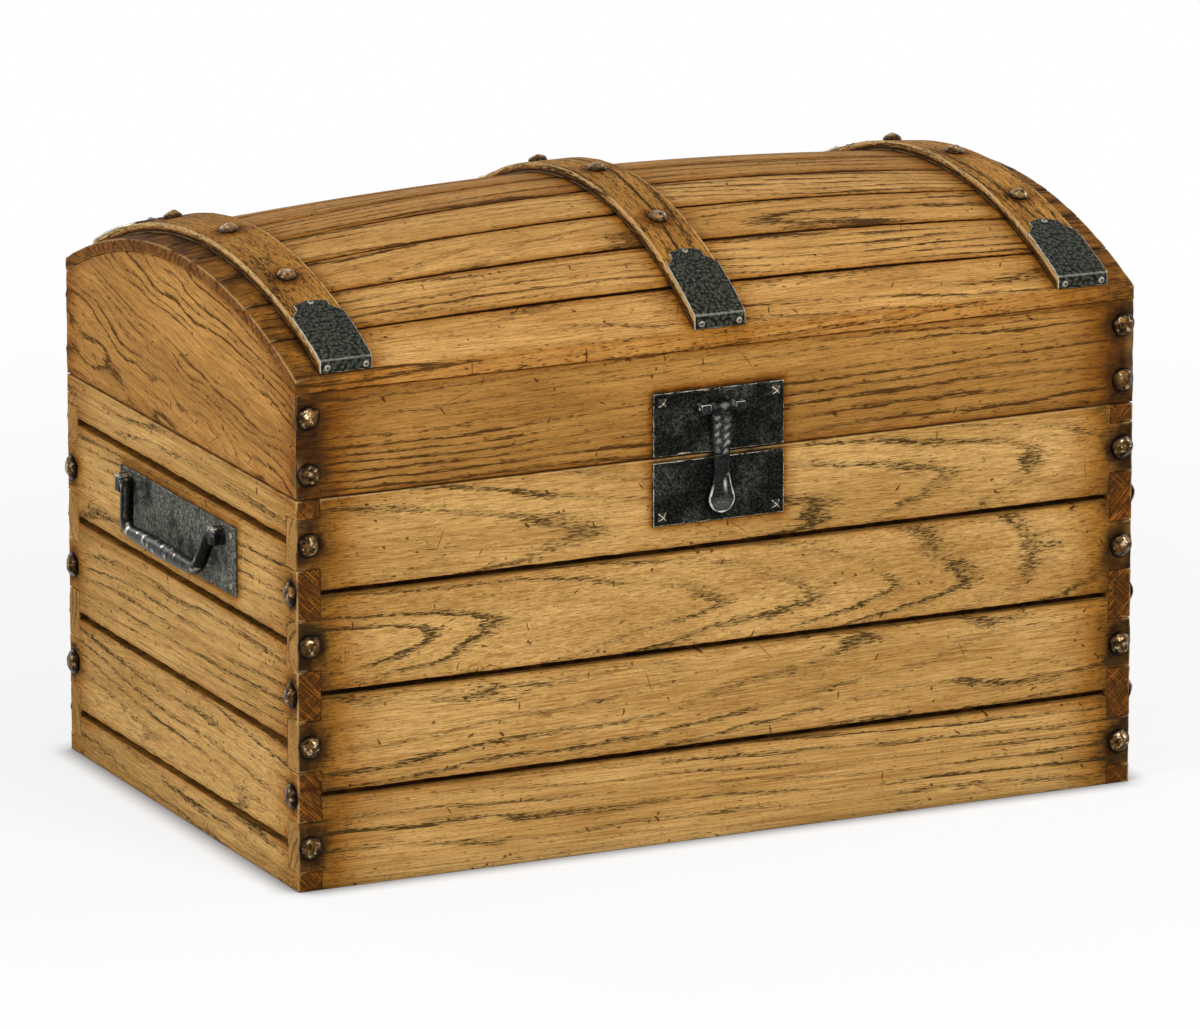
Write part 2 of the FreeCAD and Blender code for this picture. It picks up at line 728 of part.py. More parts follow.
def knuckle(x, number, turn):
    """A knuckle and the neck that joins it to its leaf, above the hinge line (1) or below it (-1)."""
    low = x - hinge_length / 2 + number * knuckle_pitch + knuckle_gap / 2
    high = low + knuckle_pitch - knuckle_gap
    barrel = rod(Vector(low, hinge_y, hinge_z), Vector(high, hinge_y, hinge_z), knuckle_radius)
    neck = sorted((hinge_z, hinge_z + turn * leaf_start))
    return [barrel, box(low, high, half_depth, leaf_back, *neck)]


def leaf(x, numbers, turn):
    ends = sorted((hinge_z + turn * leaf_start, hinge_z + turn * hinge_leaf_height))
    solids = [box(x - hinge_length / 2, x + hinge_length / 2, half_depth, leaf_back, *ends)]
    for number in numbers:
        solids += knuckle(x, number, turn)
    bore = rod(
        Vector(x - hinge_length, hinge_y, hinge_z), Vector(x + hinge_length, hinge_y, hinge_z),
        hinge_pin_radius + running_fit)
    return joined(solids).cut(bore)


def leaf_spots(x, turn):
    back_normal = Vector(0, 1, 0)
    far = hinge_z + turn * (hinge_leaf_height - hinge_nail_inset)
    near = hinge_z + turn * (leaf_start + hinge_nail_inset)
    side = hinge_length / 2 - hinge_nail_inset
    places = [(x - side, near), (x + side, near), (x, far)]
    return [(Vector(at, leaf_back, z), back_normal) for at, z in places]


def hinge_pin(x):
    half = hinge_length / 2
    ends = (Vector(x - half, hinge_y, hinge_z), Vector(x + half, hinge_y, hinge_z))
    head = Vector(hinge_pin_head, 0, 0)
    return joined([
        rod(*ends, hinge_pin_radius),
        rod(ends[0] - head, ends[0], hinge_pin_head_radius),
        rod(ends[1], ends[1] + head, hinge_pin_head_radius)])


lower_leaves = []
upper_leaves = []
for x in hinge_places:
    spots = leaf_spots(x, -1)
    lower_leaves.append(drilled(leaf(x, (0, 2), -1), spots, nail_hole, nail_hole_depth))
    for number in range(front_board_count):
        name = f"back_board_{number + 1}"
        nodes[name] = drilled(nodes[name], spots, nail_hole, nail_hole_depth)
    body_nails += [set_on(nail, spot) for spot in spots]
    spots = leaf_spots(x, 1)
    upper_leaves.append(drilled(leaf(x, (1,), 1), spots, nail_hole, nail_hole_depth))
    lid_boards["lid_back_board"] = drilled(
        lid_boards["lid_back_board"], spots, nail_hole, nail_hole_depth)
    lid_nails += [set_on(nail, spot) for spot in spots]
nodes["hinge_lower_leaves"] = Part.makeCompound(lower_leaves)
nodes["hinge_upper_leaves"] = Part.makeCompound(upper_leaves)
nodes["hinge_pins"] = Part.makeCompound([hinge_pin(x) for x in hinge_places])
nodes["body_iron_nails"] = Part.makeCompound(body_nails)
nodes["lid_iron_nails"] = Part.makeCompound(lid_nails)


# Lid stay: an arm on the lid whose slot slides over a stud on the body until the lid stands open
tilt = math.radians(stay_half_angle)
stay_y = hinge_y - stay_reach * math.cos(tilt)
stay_pivot_z = hinge_z + stay_reach * math.sin(tilt)
stay_stud_z = hinge_z - stay_reach * math.sin(tilt)
stay_outer = inner_x - stay_stand_off
stay_inner = stay_outer - stay_thickness
open_reach = 2 * stay_reach * math.sin(tilt + math.radians(lid_opening / 2))
slot_half = stay_pin_radius + stay_slot_clear
slot_top = stay_stud_z
slot_foot = stay_pivot_z - open_reach
arm_foot = slot_foot - slot_half - stay_end_margin
stay_normal = Vector(-1, 0, 0)


def stay_bar(y_half, low, high):
    """A flat bar in the stay's plane with round ends about two levels."""
    solids = [box(stay_inner, stay_outer, stay_y - y_half, stay_y + y_half, low, high)]
    for z in (low, high):
        solids.append(rod(Vector(stay_inner, stay_y, z), Vector(stay_outer, stay_y, z), y_half))
    return joined(solids)


def stay_pin(z):
    """A shouldered pin in an end board: collar, shank through the arm, and head."""
    def at(x):
        return Vector(x, stay_y, z)

    head_start = stay_inner - stay_side_clear
    return joined([
        rod(at(head_start - stay_head), at(head_start), stay_head_radius),
        rod(at(head_start), at(inner_x + stay_pin_depth), stay_pin_radius),
        rod(at(stay_outer + stay_side_clear), at(inner_x), stay_collar_radius)])


arm = stay_bar(stay_width / 2, arm_foot, stay_pivot_z).cut(stay_bar(slot_half, slot_foot, slot_top))
pivot_hole = rod(
    Vector(stay_inner, stay_y, stay_pivot_z), Vector(stay_outer, stay_y, stay_pivot_z),
    stay_pin_radius + running_fit)
nodes["stay_arm"] = arm.cut(pivot_hole)
nodes["stay_pivot"] = stay_pin(stay_pivot_z)
nodes["stay_stud"] = stay_pin(stay_stud_z)
stay_hole = stay_pin_radius + shank_fit
stay_hole_depth = stay_pin_depth + drill_extra
lid_boards["lid_right_end"] = drilled(
    lid_boards["lid_right_end"], [(Vector(inner_x, stay_y, stay_pivot_z), stay_normal)],
    stay_hole, stay_hole_depth)
for number in range(len(end_fingers)):
    name = f"right_board_{number + 1}"
    nodes[name] = drilled(
        nodes[name], [(Vector(inner_x, stay_y, stay_stud_z), stay_normal)], stay_hole, stay_hole_depth)
nodes.update(lid_boards)


# One file for each piece
os.makedirs("parts", exist_ok=True)
for name, shape in nodes.items():
    shape.exportStep(f"parts/{name}.step")
print(len(nodes), "pieces,", "height to the strap's crest", round(dome_point(0, strap_top, 0).z, 1))
print("lid hinge at", round(hinge_y, 2), round(hinge_z, 2))
print("hasp pin at", round(hasp_y, 2), round(hasp_z, 2))
print("bail pivots at", round(pivot_x, 2), round(pivot_z, 2))
print("stay pivot at", round(inner_x, 2), round(stay_y, 2), round(stay_pivot_z, 2))
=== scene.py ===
import math
import random

import bmesh
import bpy
import numpy as np
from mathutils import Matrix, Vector, kdtree, noise


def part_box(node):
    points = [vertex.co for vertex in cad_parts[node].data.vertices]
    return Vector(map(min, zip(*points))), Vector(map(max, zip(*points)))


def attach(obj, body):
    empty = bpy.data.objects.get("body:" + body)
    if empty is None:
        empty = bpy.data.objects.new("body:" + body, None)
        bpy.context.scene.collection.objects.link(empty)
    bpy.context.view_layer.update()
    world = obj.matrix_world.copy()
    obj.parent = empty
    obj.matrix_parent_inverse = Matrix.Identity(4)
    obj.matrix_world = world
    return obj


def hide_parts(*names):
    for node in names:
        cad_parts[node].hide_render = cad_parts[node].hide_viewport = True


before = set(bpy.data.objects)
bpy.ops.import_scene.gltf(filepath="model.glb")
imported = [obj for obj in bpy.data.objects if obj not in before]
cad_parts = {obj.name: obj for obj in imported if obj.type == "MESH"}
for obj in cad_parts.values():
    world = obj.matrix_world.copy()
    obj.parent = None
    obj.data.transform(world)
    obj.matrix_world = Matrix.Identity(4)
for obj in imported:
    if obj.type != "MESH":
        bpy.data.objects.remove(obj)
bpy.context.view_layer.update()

# Walls of the box: oak boards, four high at the front and back and five at each end, with ends cut
# into fingers that mesh at the corners. They overlap behind open grooves, and an antique glaze was
# rubbed over the faces, so that it stays dark in the pores and by the grooves. The dark inside the
# grooves is painted shade, and round the studs and iron it is partly glaze and partly painted shadow.
MM = 0.001
FINGER = 50
END_FINGER = 18.5
GROOVE = 7
LAP = 6
FIT = 0.2
WORN_EDGE = 2.2
GRAIN_STEP = 9
RING = 11
FOLD_START = 20
FOLD_SPAN = 36


class Tone:
    """A socket of a material's nodes, so that shader sums are written as plain arithmetic."""

    def __init__(self, tree, socket=None):
        self.tree = tree
        self.socket = socket

    def node(self, kind, settings, inputs, output=0):
        """Adds a node: its settings first, then the values or links of its inputs."""
        made = self.tree.nodes.new("ShaderNode" + kind)
        for name, value in settings.items():
            setattr(made, name, value)
        for name, value in inputs.items():
            if isinstance(value, Tone):
                self.tree.links.new(value.socket, made.inputs[name])
            else:
                made.inputs[name].default_value = value
        return Tone(self.tree, made.outputs[output])

    def out(self, name):
        return Tone(self.tree, self.socket.node.outputs[name])

    def fact(self, name, output="Fac"):
        """What the mesh says of its points or faces under this name."""
        return self.node("Attribute", {"attribute_name": name}, {}, output)

    def math(self, operation, *others):
        return self.node("Math", {"operation": operation}, dict(enumerate((self,) + others)))

    def __add__(self, other):
        return self.math("ADD", other)

    def __sub__(self, other):
        return self.math("SUBTRACT", other)

    def __rsub__(self, other):
        return self.node("Math", {"operation": "SUBTRACT"}, {0: other, 1: self})

    def __mul__(self, other):
        return self.math("MULTIPLY", other)

    def __truediv__(self, other):
        return self.math("DIVIDE", other)

    __radd__ = __add__
    __rmul__ = __mul__

    def fade(self, low, high):
        """0 below low and 1 above high, with a smooth step between them."""
        return self.node(
            "MapRange", {"interpolation_type": "SMOOTHSTEP"}, {0: self, 1: low, 2: high})

    def vector(self, operation, other, output=0):
        return self.node("VectorMath", {"operation": operation}, {0: self, 1: other}, output)

    def parts(self):
        split = self.node("SeparateXYZ", {}, {0: self})
        return split, split.out("Y"), split.out("Z")

    def blend(self, first, second, kind="MIX"):
        """Colour mixed from first to second by this value."""
        return self.node(
            "Mix", {"data_type": "RGBA", "blend_type": kind}, {0: self, 6: first, 7: second}, 2)

    def noise(self, sizes, detail=2.0, roughness=0.5):
        """Cloudy noise, 0 to 1, in lumps of these sizes along the three directions of this vector."""
        scaled = self.vector("DIVIDE", sizes)
        return self.node(
            "TexNoise", {}, {"Vector": scaled, "Scale": 1.0, "Detail": detail, "Roughness": roughness})

    def place(self):
        """Where the surface is on the part, in millimetres."""
        return self.node("TexCoord", {}, {}, "Object").vector("MULTIPLY", (1 / MM, 1 / MM, 1 / MM))

    def bump(self, strength):
        return self.node("Bump", {}, {"Height": self, "Strength": strength, "Distance": 0.0008})

    def strokes(self, cell, width, length, keep):
        """Short straight strokes on a flat pattern: one in each cell, of which a share is kept."""
        cells = self.node(
            "TexVoronoi", {"voronoi_dimensions": "2D"}, {"Vector": self, "Scale": 1 / cell}, "Position")
        draw = cells.out("Color")
        turn = draw.vector("SUBTRACT", (0.5, 0.5, 0.5)).vector("MULTIPLY", (1, 1, 0))
        turn = turn.vector("NORMALIZE", (0, 0, 0))
        offset = self.vector("SUBTRACT", cells)
        along = offset.vector("DOT_PRODUCT", turn, 1)
        away = offset.vector("DOT_PRODUCT", offset, 1)
        reach = (away - along * along) / width ** 2 + along * along / length ** 2
        return (1 - reach.fade(0.3, 1.0)) * draw.parts()[2].math("LESS_THAN", keep)


def dye(red, green, blue):
    """A colour as it looks on a screen, 0 to 255, in the linear light that shaders take."""
    parts = [c / 255 for c in (red, green, blue)]
    return tuple(c / 12.92 if c < 0.0405 else ((c + 0.055) / 1.055) ** 2.4 for c in parts) + (1.0,)


def material(name):
    """A new material with its Principled shader, and a handle to add nodes with."""
    made = bpy.data.materials.new(name)
    made.use_nodes = True
    return made, made.node_tree.nodes["Principled BSDF"], Tone(made.node_tree)


def feed(start, shader, **links):
    for name, tone in links.items():
        start.tree.links.new(tone.socket, shader.inputs[name.replace("_", " ")])


def oak(name, honey, amber, width=RING, pore=dye(58, 44, 20), open_pores=0.0, figure=1.0, wave=0.0):
    """Plain-sawn oak: rings about the tree's heart, open pores, dents, dark glazing and painted shade."""
    made, shader, start = material(name)
    at = start.fact("heart", "Vector")
    glaze, wear, sawn, bare = [start.fact(n) for n in ("glaze", "wear", "end_grain", "bare")]
    along, across, deep = at.parts()
    mottle = at.noise((22, 22, 22), 3.0, 0.6)
    fibre = at.noise((180, 1.7, 1.7), 3.0, 0.62).fade(0.34, 0.66)
    hair = at.noise((90, 1.15, 1.15), 1.5, 0.6).fade(0.50, 0.62)
    grain = at.noise((4.5, 0.9, 0.9), 1.0).fade(0.36, 0.64)
    cloud = at.noise((260, 45, 45), 2.0).fade(0.3, 0.7)

    meander = at.noise((380, 70, 70), 1.5) - 0.5
    ripple = at.noise((60, 14, 14), 2.0) - 0.5
    feather = at.noise((55, 1.2, 1.2), 1.0) - 0.5
    reach = (across * across + deep * deep).math("SQRT") + meander * 32
    reach = reach + (at.noise((105, 55, 55), 1.0) - 0.5) * wave
    ring = (reach + ripple * 5 + feather * 5) / width
    year = at.node("TexWhiteNoise", {"noise_dimensions": "1D"}, {"W": ring.math("FLOOR")})
    phase = ring.math("FRACT")
    rich = at.noise((210, 40, 40), 1.0).fade(0.40, 0.60)
    band = phase.fade(0, 0.03) * (1 - phase.fade(0.05, 0.42)) * (0.2 + 0.8 * year.fade(0.2, 0.8))
    band = band * (0.3 + 0.7 * rich) * figure
    check = phase.fade(0, 0.015) * (1 - phase.fade(0.03, 0.10)) * year.fade(0.3, 0.55)
    check = check * at.noise((48, 1.3, 1.3), 1.0).fade(0.38, 0.54) * (0.35 + 0.65 * rich) * figure
    bore = at.noise((9, 1.2, 1.2), 1.5, 0.55)
    pores = (bore + band * 0.28 + glaze * 0.09 + open_pores).fade(0.65, 0.73)
    streak = at.noise((420, 4, 4), 1.0).fade(0.58, 0.72)
    colour = (fibre * 0.5 + cloud * 0.6 - 0.08).blend(honey, amber)
    colour = (hair * 0.36 + grain * 0.2).blend(colour, dye(112, 72, 27))
    colour = (band * (0.35 + fibre * 0.5)).blend(colour, dye(108, 80, 37))
    colour = (streak * 0.4).blend(colour, dye(136, 86, 34))
    colour = (bare * (0.55 + fibre * 0.4)).blend(colour, dye(224, 188, 130))

    slanted = at.node("CombineXYZ", {}, {0: across + deep, 1: across - deep, 2: along})
    teeth = slanted.noise((1.9, 40, 40), 1.5).fade(0.50, 0.64)
    teeth = teeth.math("MAXIMUM", slanted.noise((40, 2.1, 40), 1.5).fade(0.54, 0.68) * 0.7)
    colour = (sawn * 0.9).blend(colour, teeth.blend(dye(78, 43, 14), dye(176, 120, 54)))

    # Real glaze, plus painted shade in grooves, the seam, under straps and round studs and iron; nearly
    # black above 0.5.
    darkness = (glaze * (0.58 + mottle * 0.84) * (1 - sawn * 0.4)).math("MINIMUM", 1.0)
    colour = darkness.fade(0.0, 0.62).blend(colour, (0.60, 0.44, 0.20, 1), "MULTIPLY")
    colour = darkness.fade(0.5, 1.0).blend(colour, dye(39, 22, 8))
    colour = (pores * (0.7 + rich * 0.2)).math("MAXIMUM", check * 0.8).blend(colour, pore)

    flat = at.vector("MULTIPLY", (1, 1, 0))
    wobble = at.node("TexNoise", {}, {"Vector": at, "Scale": 0.4, "Detail": 2.0}, "Color")
    shaken = flat.vector("ADD", wobble.vector("SUBTRACT", (0.5, 0.5, 0.5)).vector("MULTIPLY", (4, 4, 0)))
    busy = at.noise((90, 60, 60), 1.0).fade(0.44, 0.62)
    specks = shaken.strokes(19, 1.5, 2.3, 0.25) * busy
    nicks = shaken.strokes(38, 0.9, 5, 0.22)
    gouges = shaken.strokes(130, 1.8, 4.5, 0.3)
    marks = specks.math("MAXIMUM", nicks).math("MAXIMUM", gouges)
    scratches = flat.strokes(85, 0.6, 15, 0.4)
    colour = (scratches * 0.7).blend(colour, dye(98, 52, 18))
    colour = (marks * 0.85).blend(colour, dye(66, 30, 11))

    rubbed = wear * (at.noise((30, 30, 30), 3.0) + 0.12).fade(0.45, 0.68) * (1 - darkness * 0.5)
    colour = (rubbed * 0.7).blend(colour, dye(222, 184, 124))
    relief = fibre * 0.1 + mottle * 0.12 - hair * 0.15 - pores * 0.5 - check * 0.4 - marks * 1.3
    relief = relief - scratches * 0.5 + sawn * teeth * 0.4
    bump = relief.bump(0.6)
    dullness = 0.58 + fibre * 0.08 + pores * 0.15 + marks * 0.15
    feed(at, shader, Base_Color=colour, Roughness=dullness, Normal=bump)
    shader.inputs["Specular IOR Level"].default_value = 0.05
    return made


def corners(node):
    """Lowest and highest corner of a CAD node, in millimetres."""
    low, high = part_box(node)
    return np.array(low) / MM, np.array(high) / MM


def centre_of(node):
    return sum(corners(node)) / 2


def cuts(features, step, rim):
    """Grid lines through a piece's edges, one beside each for its worn corner, filled in to the step."""
    kept = sorted(set(features))
    for line in [f + d for f in features for d in (-rim, rim)]:
        if kept[0] < line < kept[-1] and min(abs(line - k) for k in kept) > 0.5 * rim:
            kept = sorted(kept + [line])
    filled = [
        a + (b - a) * k / max(1, round((b - a) / step))
        for a, b in zip(kept, kept[1:]) for k in range(max(1, round((b - a) / step)))]
    return np.array(filled + kept[-1:])


def middles(lines):
    """The middles of a grid's cells, as three arrays that broadcast together."""
    return np.meshgrid(*[(line[1:] + line[:-1]) / 2 for line in lines], indexing="ij", sparse=True)


def block(lines, solid=True, rub=0.0):
    """Points, quads and end flags round a grid's solid cells, with outer edges rubbed off unevenly."""
    counts = [len(line) for line in lines]
    padded = np.pad(np.broadcast_to(solid, [count - 1 for count in counts]).astype(int), 1)
    numbers = np.arange(np.prod(counts)).reshape(counts)
    quads, ends = [], []
    for axis in range(3):
        one, two = [k for k in range(3) if k != axis]
        inner = [slice(1, -1)] * 3
        inner[axis] = slice(None)
        spots = np.argwhere(np.diff(padded[tuple(inner)], axis=axis))
        ring = []
        for a, b in ((0, 0), (1, 0), (1, 1), (0, 1)):
            corner = spots.copy()
            corner[:, one] += a
            corner[:, two] += b
            ring.append(numbers[tuple(corner.T)])
        quads.append(np.stack(ring, 1))
        ends.append(np.full(len(spots), axis == 0))
    quads = np.concatenate(quads)
    count = np.zeros(counts, int)
    inward = np.zeros(counts + [3])
    for shift in np.ndindex(2, 2, 2):
        part = padded[tuple(slice(s, s + n) for s, n in zip(shift, counts))]
        count += part
        inward += part[..., None] * (2 * np.array(shift) - 1)
    points = np.stack(np.meshgrid(*lines, indexing="ij"), -1).reshape(-1, 3)
    inward = inward.reshape(-1, 3)
    for n in np.flatnonzero((count.ravel() > 0) & (count.ravel() < 4)):
        spot = Vector(points[n])
        amount = rub * (0.5 + 0.55 * noise.noise(spot / 17) + 0.4 * noise.noise(spot / 5))
        points[n] += inward[n] / np.linalg.norm(inward[n]) * max(amount, 0.15 * rub)
    used, quads = np.unique(quads, return_inverse=True)
    return points[used], quads.reshape(-1, 4), np.concatenate(ends)


def away_from(points, low, high):
    """Distance of points from a box."""
    return np.linalg.norm(np.maximum(np.maximum(low - points, points - high), 0), axis=1)


def piece(name, points, faces, look, body, slot, replaced, sharp=50, rub=1.0, **facts):
    """A closed mesh in place, with its facts, riding on its body in place of its CAD nodes.

    Its folds are marked as worn, as far as the rub allows."""
    mesh = bpy.data.meshes.new(name)
    mesh.from_pydata((np.asarray(points) * MM).tolist(), [], [list(map(int, f)) for f in faces])
    shape = bmesh.new()
    shape.from_mesh(mesh)
    bmesh.ops.recalc_face_normals(shape, faces=shape.faces)
    folds = [max(e.calc_face_angle_signed(0) for e in v.link_edges) for v in shape.verts]
    shape.to_mesh(mesh)
    shape.free()
    facts["wear"] = np.clip((np.degrees(folds) - FOLD_START) / FOLD_SPAN, 0, 1) * rub
    for key, values in facts.items():
        values = np.asarray(values, float)
        kind, field = ("FLOAT_VECTOR", "vector") if values.ndim == 2 else ("FLOAT", "value")
        domain = "FACE" if len(values) == len(faces) != len(points) else "POINT"
        mesh.attributes.new(key, kind, domain).data.foreach_set(field, values.ravel())
    mesh.shade_smooth()
    mesh.set_sharp_from_angle(angle=math.radians(sharp))
    mesh.materials.append(look)
    made = bpy.data.objects.new(name, mesh)
    bpy.context.scene.collection.objects.link(made)
    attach(made, body)
    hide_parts(*replaced)


def heartwood(points, seed, tilt=None, side=None, depth=None, skew=None):
    """Places of points from the heart of the tree that the board was sawn from: along, across, deep.

    The heart leans by tilt and skew, and lies beside the board's middle and behind its face. What isn't
    given is drawn from the seed."""
    draw = random.Random(seed)
    along, across, deep = np.asarray(points, float).T
    start, lean = draw.uniform(2000, 9000), draw.uniform(-0.02, 0.02)
    drawn = (draw.uniform(-0.06, 0.06), draw.uniform(-70, 70), draw.uniform(45, 90), lean)
    given = (tilt, side, depth, skew)
    tilt, side, depth, skew = (d if g is None else g for g, d in zip(given, drawn))
    across = across - (across.min() + across.max()) / 2
    return np.stack([along + start, across + side + skew * along, deep + depth + tilt * along], 1)


def fasteners(node):
    """Seat and outward direction of each nail or stud of a CAD node, from its turned shape."""
    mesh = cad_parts[node].data
    places = np.array([v.co for v in mesh.vertices]) / MM
    keys, merged = np.unique(np.round(places, 2), axis=0, return_inverse=True)
    merged = merged.ravel()
    owner = list(range(len(keys)))

    def root(k):
        while owner[k] != k:
            owner[k] = owner[owner[k]]
            k = owner[k]
        return k

    for face in mesh.polygons:
        first = root(merged[face.vertices[0]])
        for k in face.vertices[1:]:
            owner[root(merged[k])] = first
    groups = {}
    for k in range(len(keys)):
        groups.setdefault(root(k), []).append(k)
    found = []
    for members in groups.values():
        own = keys[members]
        spread, ways = np.linalg.eigh(np.cov((own - own.mean(0)).T))
        axis = ways[:, 2] if spread[2] - spread[1] > spread[1] - spread[0] else ways[:, 0]
        along = (own - own.mean(0)) @ axis
        off = np.linalg.norm((own - own.mean(0)) - along[:, None] * axis, axis=1)
        wide = off > 0.9 * off.max()
        if along[wide].mean() < along.mean():
            axis, along = -axis, -along
        found.append((own.mean(0) + axis * along[wide].min(), axis))
    return sorted(found, key=lambda spot: tuple(np.round(spot[0], 1)))


wall_oak = oak("oak_of_the_box", dye(218, 175, 107), dye(172, 129, 66))
stud_seats = [seat for seat, _ in fasteners("body_studs") + fasteners("lid_corner_studs")]
iron_boxes = [corners(n) for n in (
    "hasp_upper_plate", "hasp_lower_plate", "left_handle_plate", "right_handle_plate")]
SKIN = 1.2
TIP_RIM = 1.5
CORNER_BAND = 4
CORNER_STAIN = 60
GROOVE_STAIN = 4.5
EDGE_DARK = 0.35
STUD_RADIUS = 12.0
# Halos round studs and iron: partly glaze, partly painted shadow where they stand off the wood.
STUD_HALO = 7.5
STUD_DARK = 0.96
IRON_HALO = 5
IRON_DARK = 0.9
# Painted shade inside the grooves and along the seam under the lid.
GROOVE_SHADE = 0.9
INSIDE_DARK = 0.1
FACE_GLAZE_AND_SHADE = {"corner": 0.84, "tip": 0.3, "ledge_shade": 0.4, "sawn": 0.2}
END_GLAZE_AND_SHADE = {"corner": 0.4, "tip": 0.9, "ledge_shade": 0.7, "sawn": 1.0}


def clear_of_studs(points, seats, dark, spread):
    """How clear of glazing and painted shadow the wood is round stud heads."""
    gaps = [np.maximum(np.linalg.norm(points - seat, axis=1) - STUD_RADIUS, 0) for seat in seats]
    return np.prod([1 - dark * np.exp(-gap / spread) for gap in gaps], axis=0)


def glazed_and_shaded(points, edges, ends, corner):
    """How dark the glazing is by the board's edges and ends, with painted shadow round studs and iron."""
    clear = 1 - EDGE_DARK * np.exp(-(edges / GROOVE_STAIN) ** 2)
    clear *= 1 - corner * np.exp(-(ends / CORNER_STAIN) ** 2)
    clear *= clear_of_studs(points, stud_seats, STUD_DARK, STUD_HALO)
    for low, high in iron_boxes:
        clear *= 1 - IRON_DARK * np.exp(-away_from(points, low, high) / IRON_HALO)
    return 1 - clear


low, high = corners("front_board_1")
outer_y, thickness = low[1], high[1] - low[1]
half_width, half_depth = high[0], -outer_y
body_high = corners("front_board_4")[1][2]
hearts = {
    "front_board_1": (0.012, 62, 45), "front_board_2": (0.045, -20, 62), "front_board_3": (0.11, 6, 58),
    "front_board_4": (0.065, 16, 66), "left_board_4": (-0.03, 60, 50), "left_board_3": (0.03, -55, 45),
    "left_board_2": (0.06, 40, 60)}
walls = {
    "front": (half_width, half_depth, (1, 0, 0), (0, 1, 0)),
    "back": (half_width, half_depth, (-1, 0, 0), (0, -1, 0)),
    "left": (half_depth, half_width, (0, -1, 0), (1, 0, 0)),
    "right": (half_depth, half_width, (0, 1, 0), (-1, 0, 0))}
for side, (half, distance, along, inward) in walls.items():
    long_side = side in ("front", "back")
    count, dark = (4, FACE_GLAZE_AND_SHADE) if long_side else (5, END_GLAZE_AND_SHADE)
    feet = [corners(f"{side}_board_{k + 1}")[0][2] for k in range(count)]
    first_finger = END_FINGER if long_side else END_FINGER - FINGER
    shoulder = half - thickness
    for number in range(count):
        foot, last = feet[number], number == count - 1
        top = body_high if last else feet[number + 1] - GROOVE
        back_foot = foot if number == 0 else foot - GROOVE / 2 + LAP + FIT
        back_top = top if last else top + GROOVE / 2 + LAP - FIT
        finger_low = max(first_finger + 2 * FINGER * number + FIT / 2, 0)
        finger_high = min(first_finger + 2 * FINGER * number + FINGER - FIT / 2, body_high)
        grid = (
            cuts([-half, -shoulder, shoulder, half], GRAIN_STEP, WORN_EDGE),
            cuts([foot, top, back_foot, back_top, finger_low, finger_high], GRAIN_STEP, WORN_EDGE),
            cuts([0, thickness / 2, thickness], thickness, WORN_EDGE))
        u, v, w = middles(grid)
        plank = np.where(w < thickness / 2, (v > foot) & (v < top), (v > back_foot) & (v < back_top))
        tongue = (v > finger_low) & (v < finger_high)
        points, faces, ends = block(grid, np.where(abs(u) < shoulder, plank, tongue), rub=1.1)
        u, v, w = points.T
        spots = u[:, None] * along + v[:, None] * (0, 0, 1) + (w - distance)[:, None] * inward
        edges = np.minimum(v - foot if number else v + 9, top - v)
        glaze = glazed_and_shaded(spots, np.maximum(edges, 0), half - abs(u), dark["corner"])
        glaze = np.where((half - abs(u) < SKIN) & (w > TIP_RIM), dark["tip"], glaze)
        # Faces inside the grooves and on the top edge under the lid get painted shade, lighter on the ledge
        # than on the lap behind it.
        ledge_shade = np.where((abs(v - top) < 1) & (w < thickness / 2 - 1), dark["ledge_shade"], GROOVE_SHADE)
        behind = np.where(w < thickness / 2 + 1, ledge_shade, INSIDE_DARK)
        glaze = np.where((abs(u) < shoulder + 1) & (w > SKIN), behind, glaze)
        corner = (w < CORNER_BAND) & ((half - abs(u) < CORNER_BAND) | (v > body_high - CORNER_BAND))
        name = f"{side}_board_{number + 1}"
        piece(
            f"oak_{name}", spots, faces, wall_oak, "body", "oak_box", [name], rub=corner,
            heart=heartwood(points, name, *hearts.get(name, ())), glaze=glaze, end_grain=ends * dark["sawn"])

# Bottom of the box: oak boards glued up into one panel, laid loose on cleats that are nailed round
# the foot of the walls and on a batten across the middle. Left bare, with no glaze.
bottom_oak = oak("bare_oak", dye(206, 170, 116), dye(186, 146, 92))
CLEAT = 22
PANEL_BOARDS = 5
GLUE_LINE = 0.2


def plain_board(name, low, high, along, seed):
    """Points, quads and heartwood of a straight board between two corners, with its grain along an axis."""
    points, faces, _ = block([cuts([a, b], 40, WORN_EDGE) for a, b in zip(low, high)], rub=0.8)
    order = [along] + [k for k in range(3) if k != along]
    return points, faces, heartwood(points[:, order], f"{name}{seed}")


def gathered(parts):
    """Several meshes as one: points, faces and, for each fact, its joined values."""
    points, faces, start = [], [], 0
    for part in parts:
        points.append(part[0])
        faces += [[int(k) + start for k in face] for face in part[1]]
        start += len(part[0])
    facts = [np.concatenate([part[n] for part in parts]) for n in range(2, len(parts[0]))]
    return [np.concatenate(points), faces] + facts


low, high = corners("bottom_panel")
strips = np.linspace(low[1], high[1], PANEL_BOARDS + 1)
panel = gathered([
    plain_board("bottom", (low[0], a, low[2]), (high[0], b, high[2]), 0, k)
    for k, (a, b) in enumerate(zip(strips[:-1] + GLUE_LINE / 2, strips[1:] - GLUE_LINE / 2))])
piece("oak_bottom_panel", *panel[:2], bottom_oak, "body", "oak_bottom", ["bottom_panel"], heart=panel[2])
low, high = corners("bottom_cleats")
inner_low, inner_high = low + CLEAT, high - CLEAT
rails = [
    ((low[0], low[1]), (high[0], inner_low[1]), 0), ((low[0], inner_high[1]), (high[0], high[1]), 0),
    ((low[0], inner_low[1]), (inner_low[0], inner_high[1]), 1),
    ((inner_high[0], inner_low[1]), (high[0], inner_high[1]), 1),
    ((-CLEAT, inner_low[1]), (CLEAT, inner_high[1]), 1)]
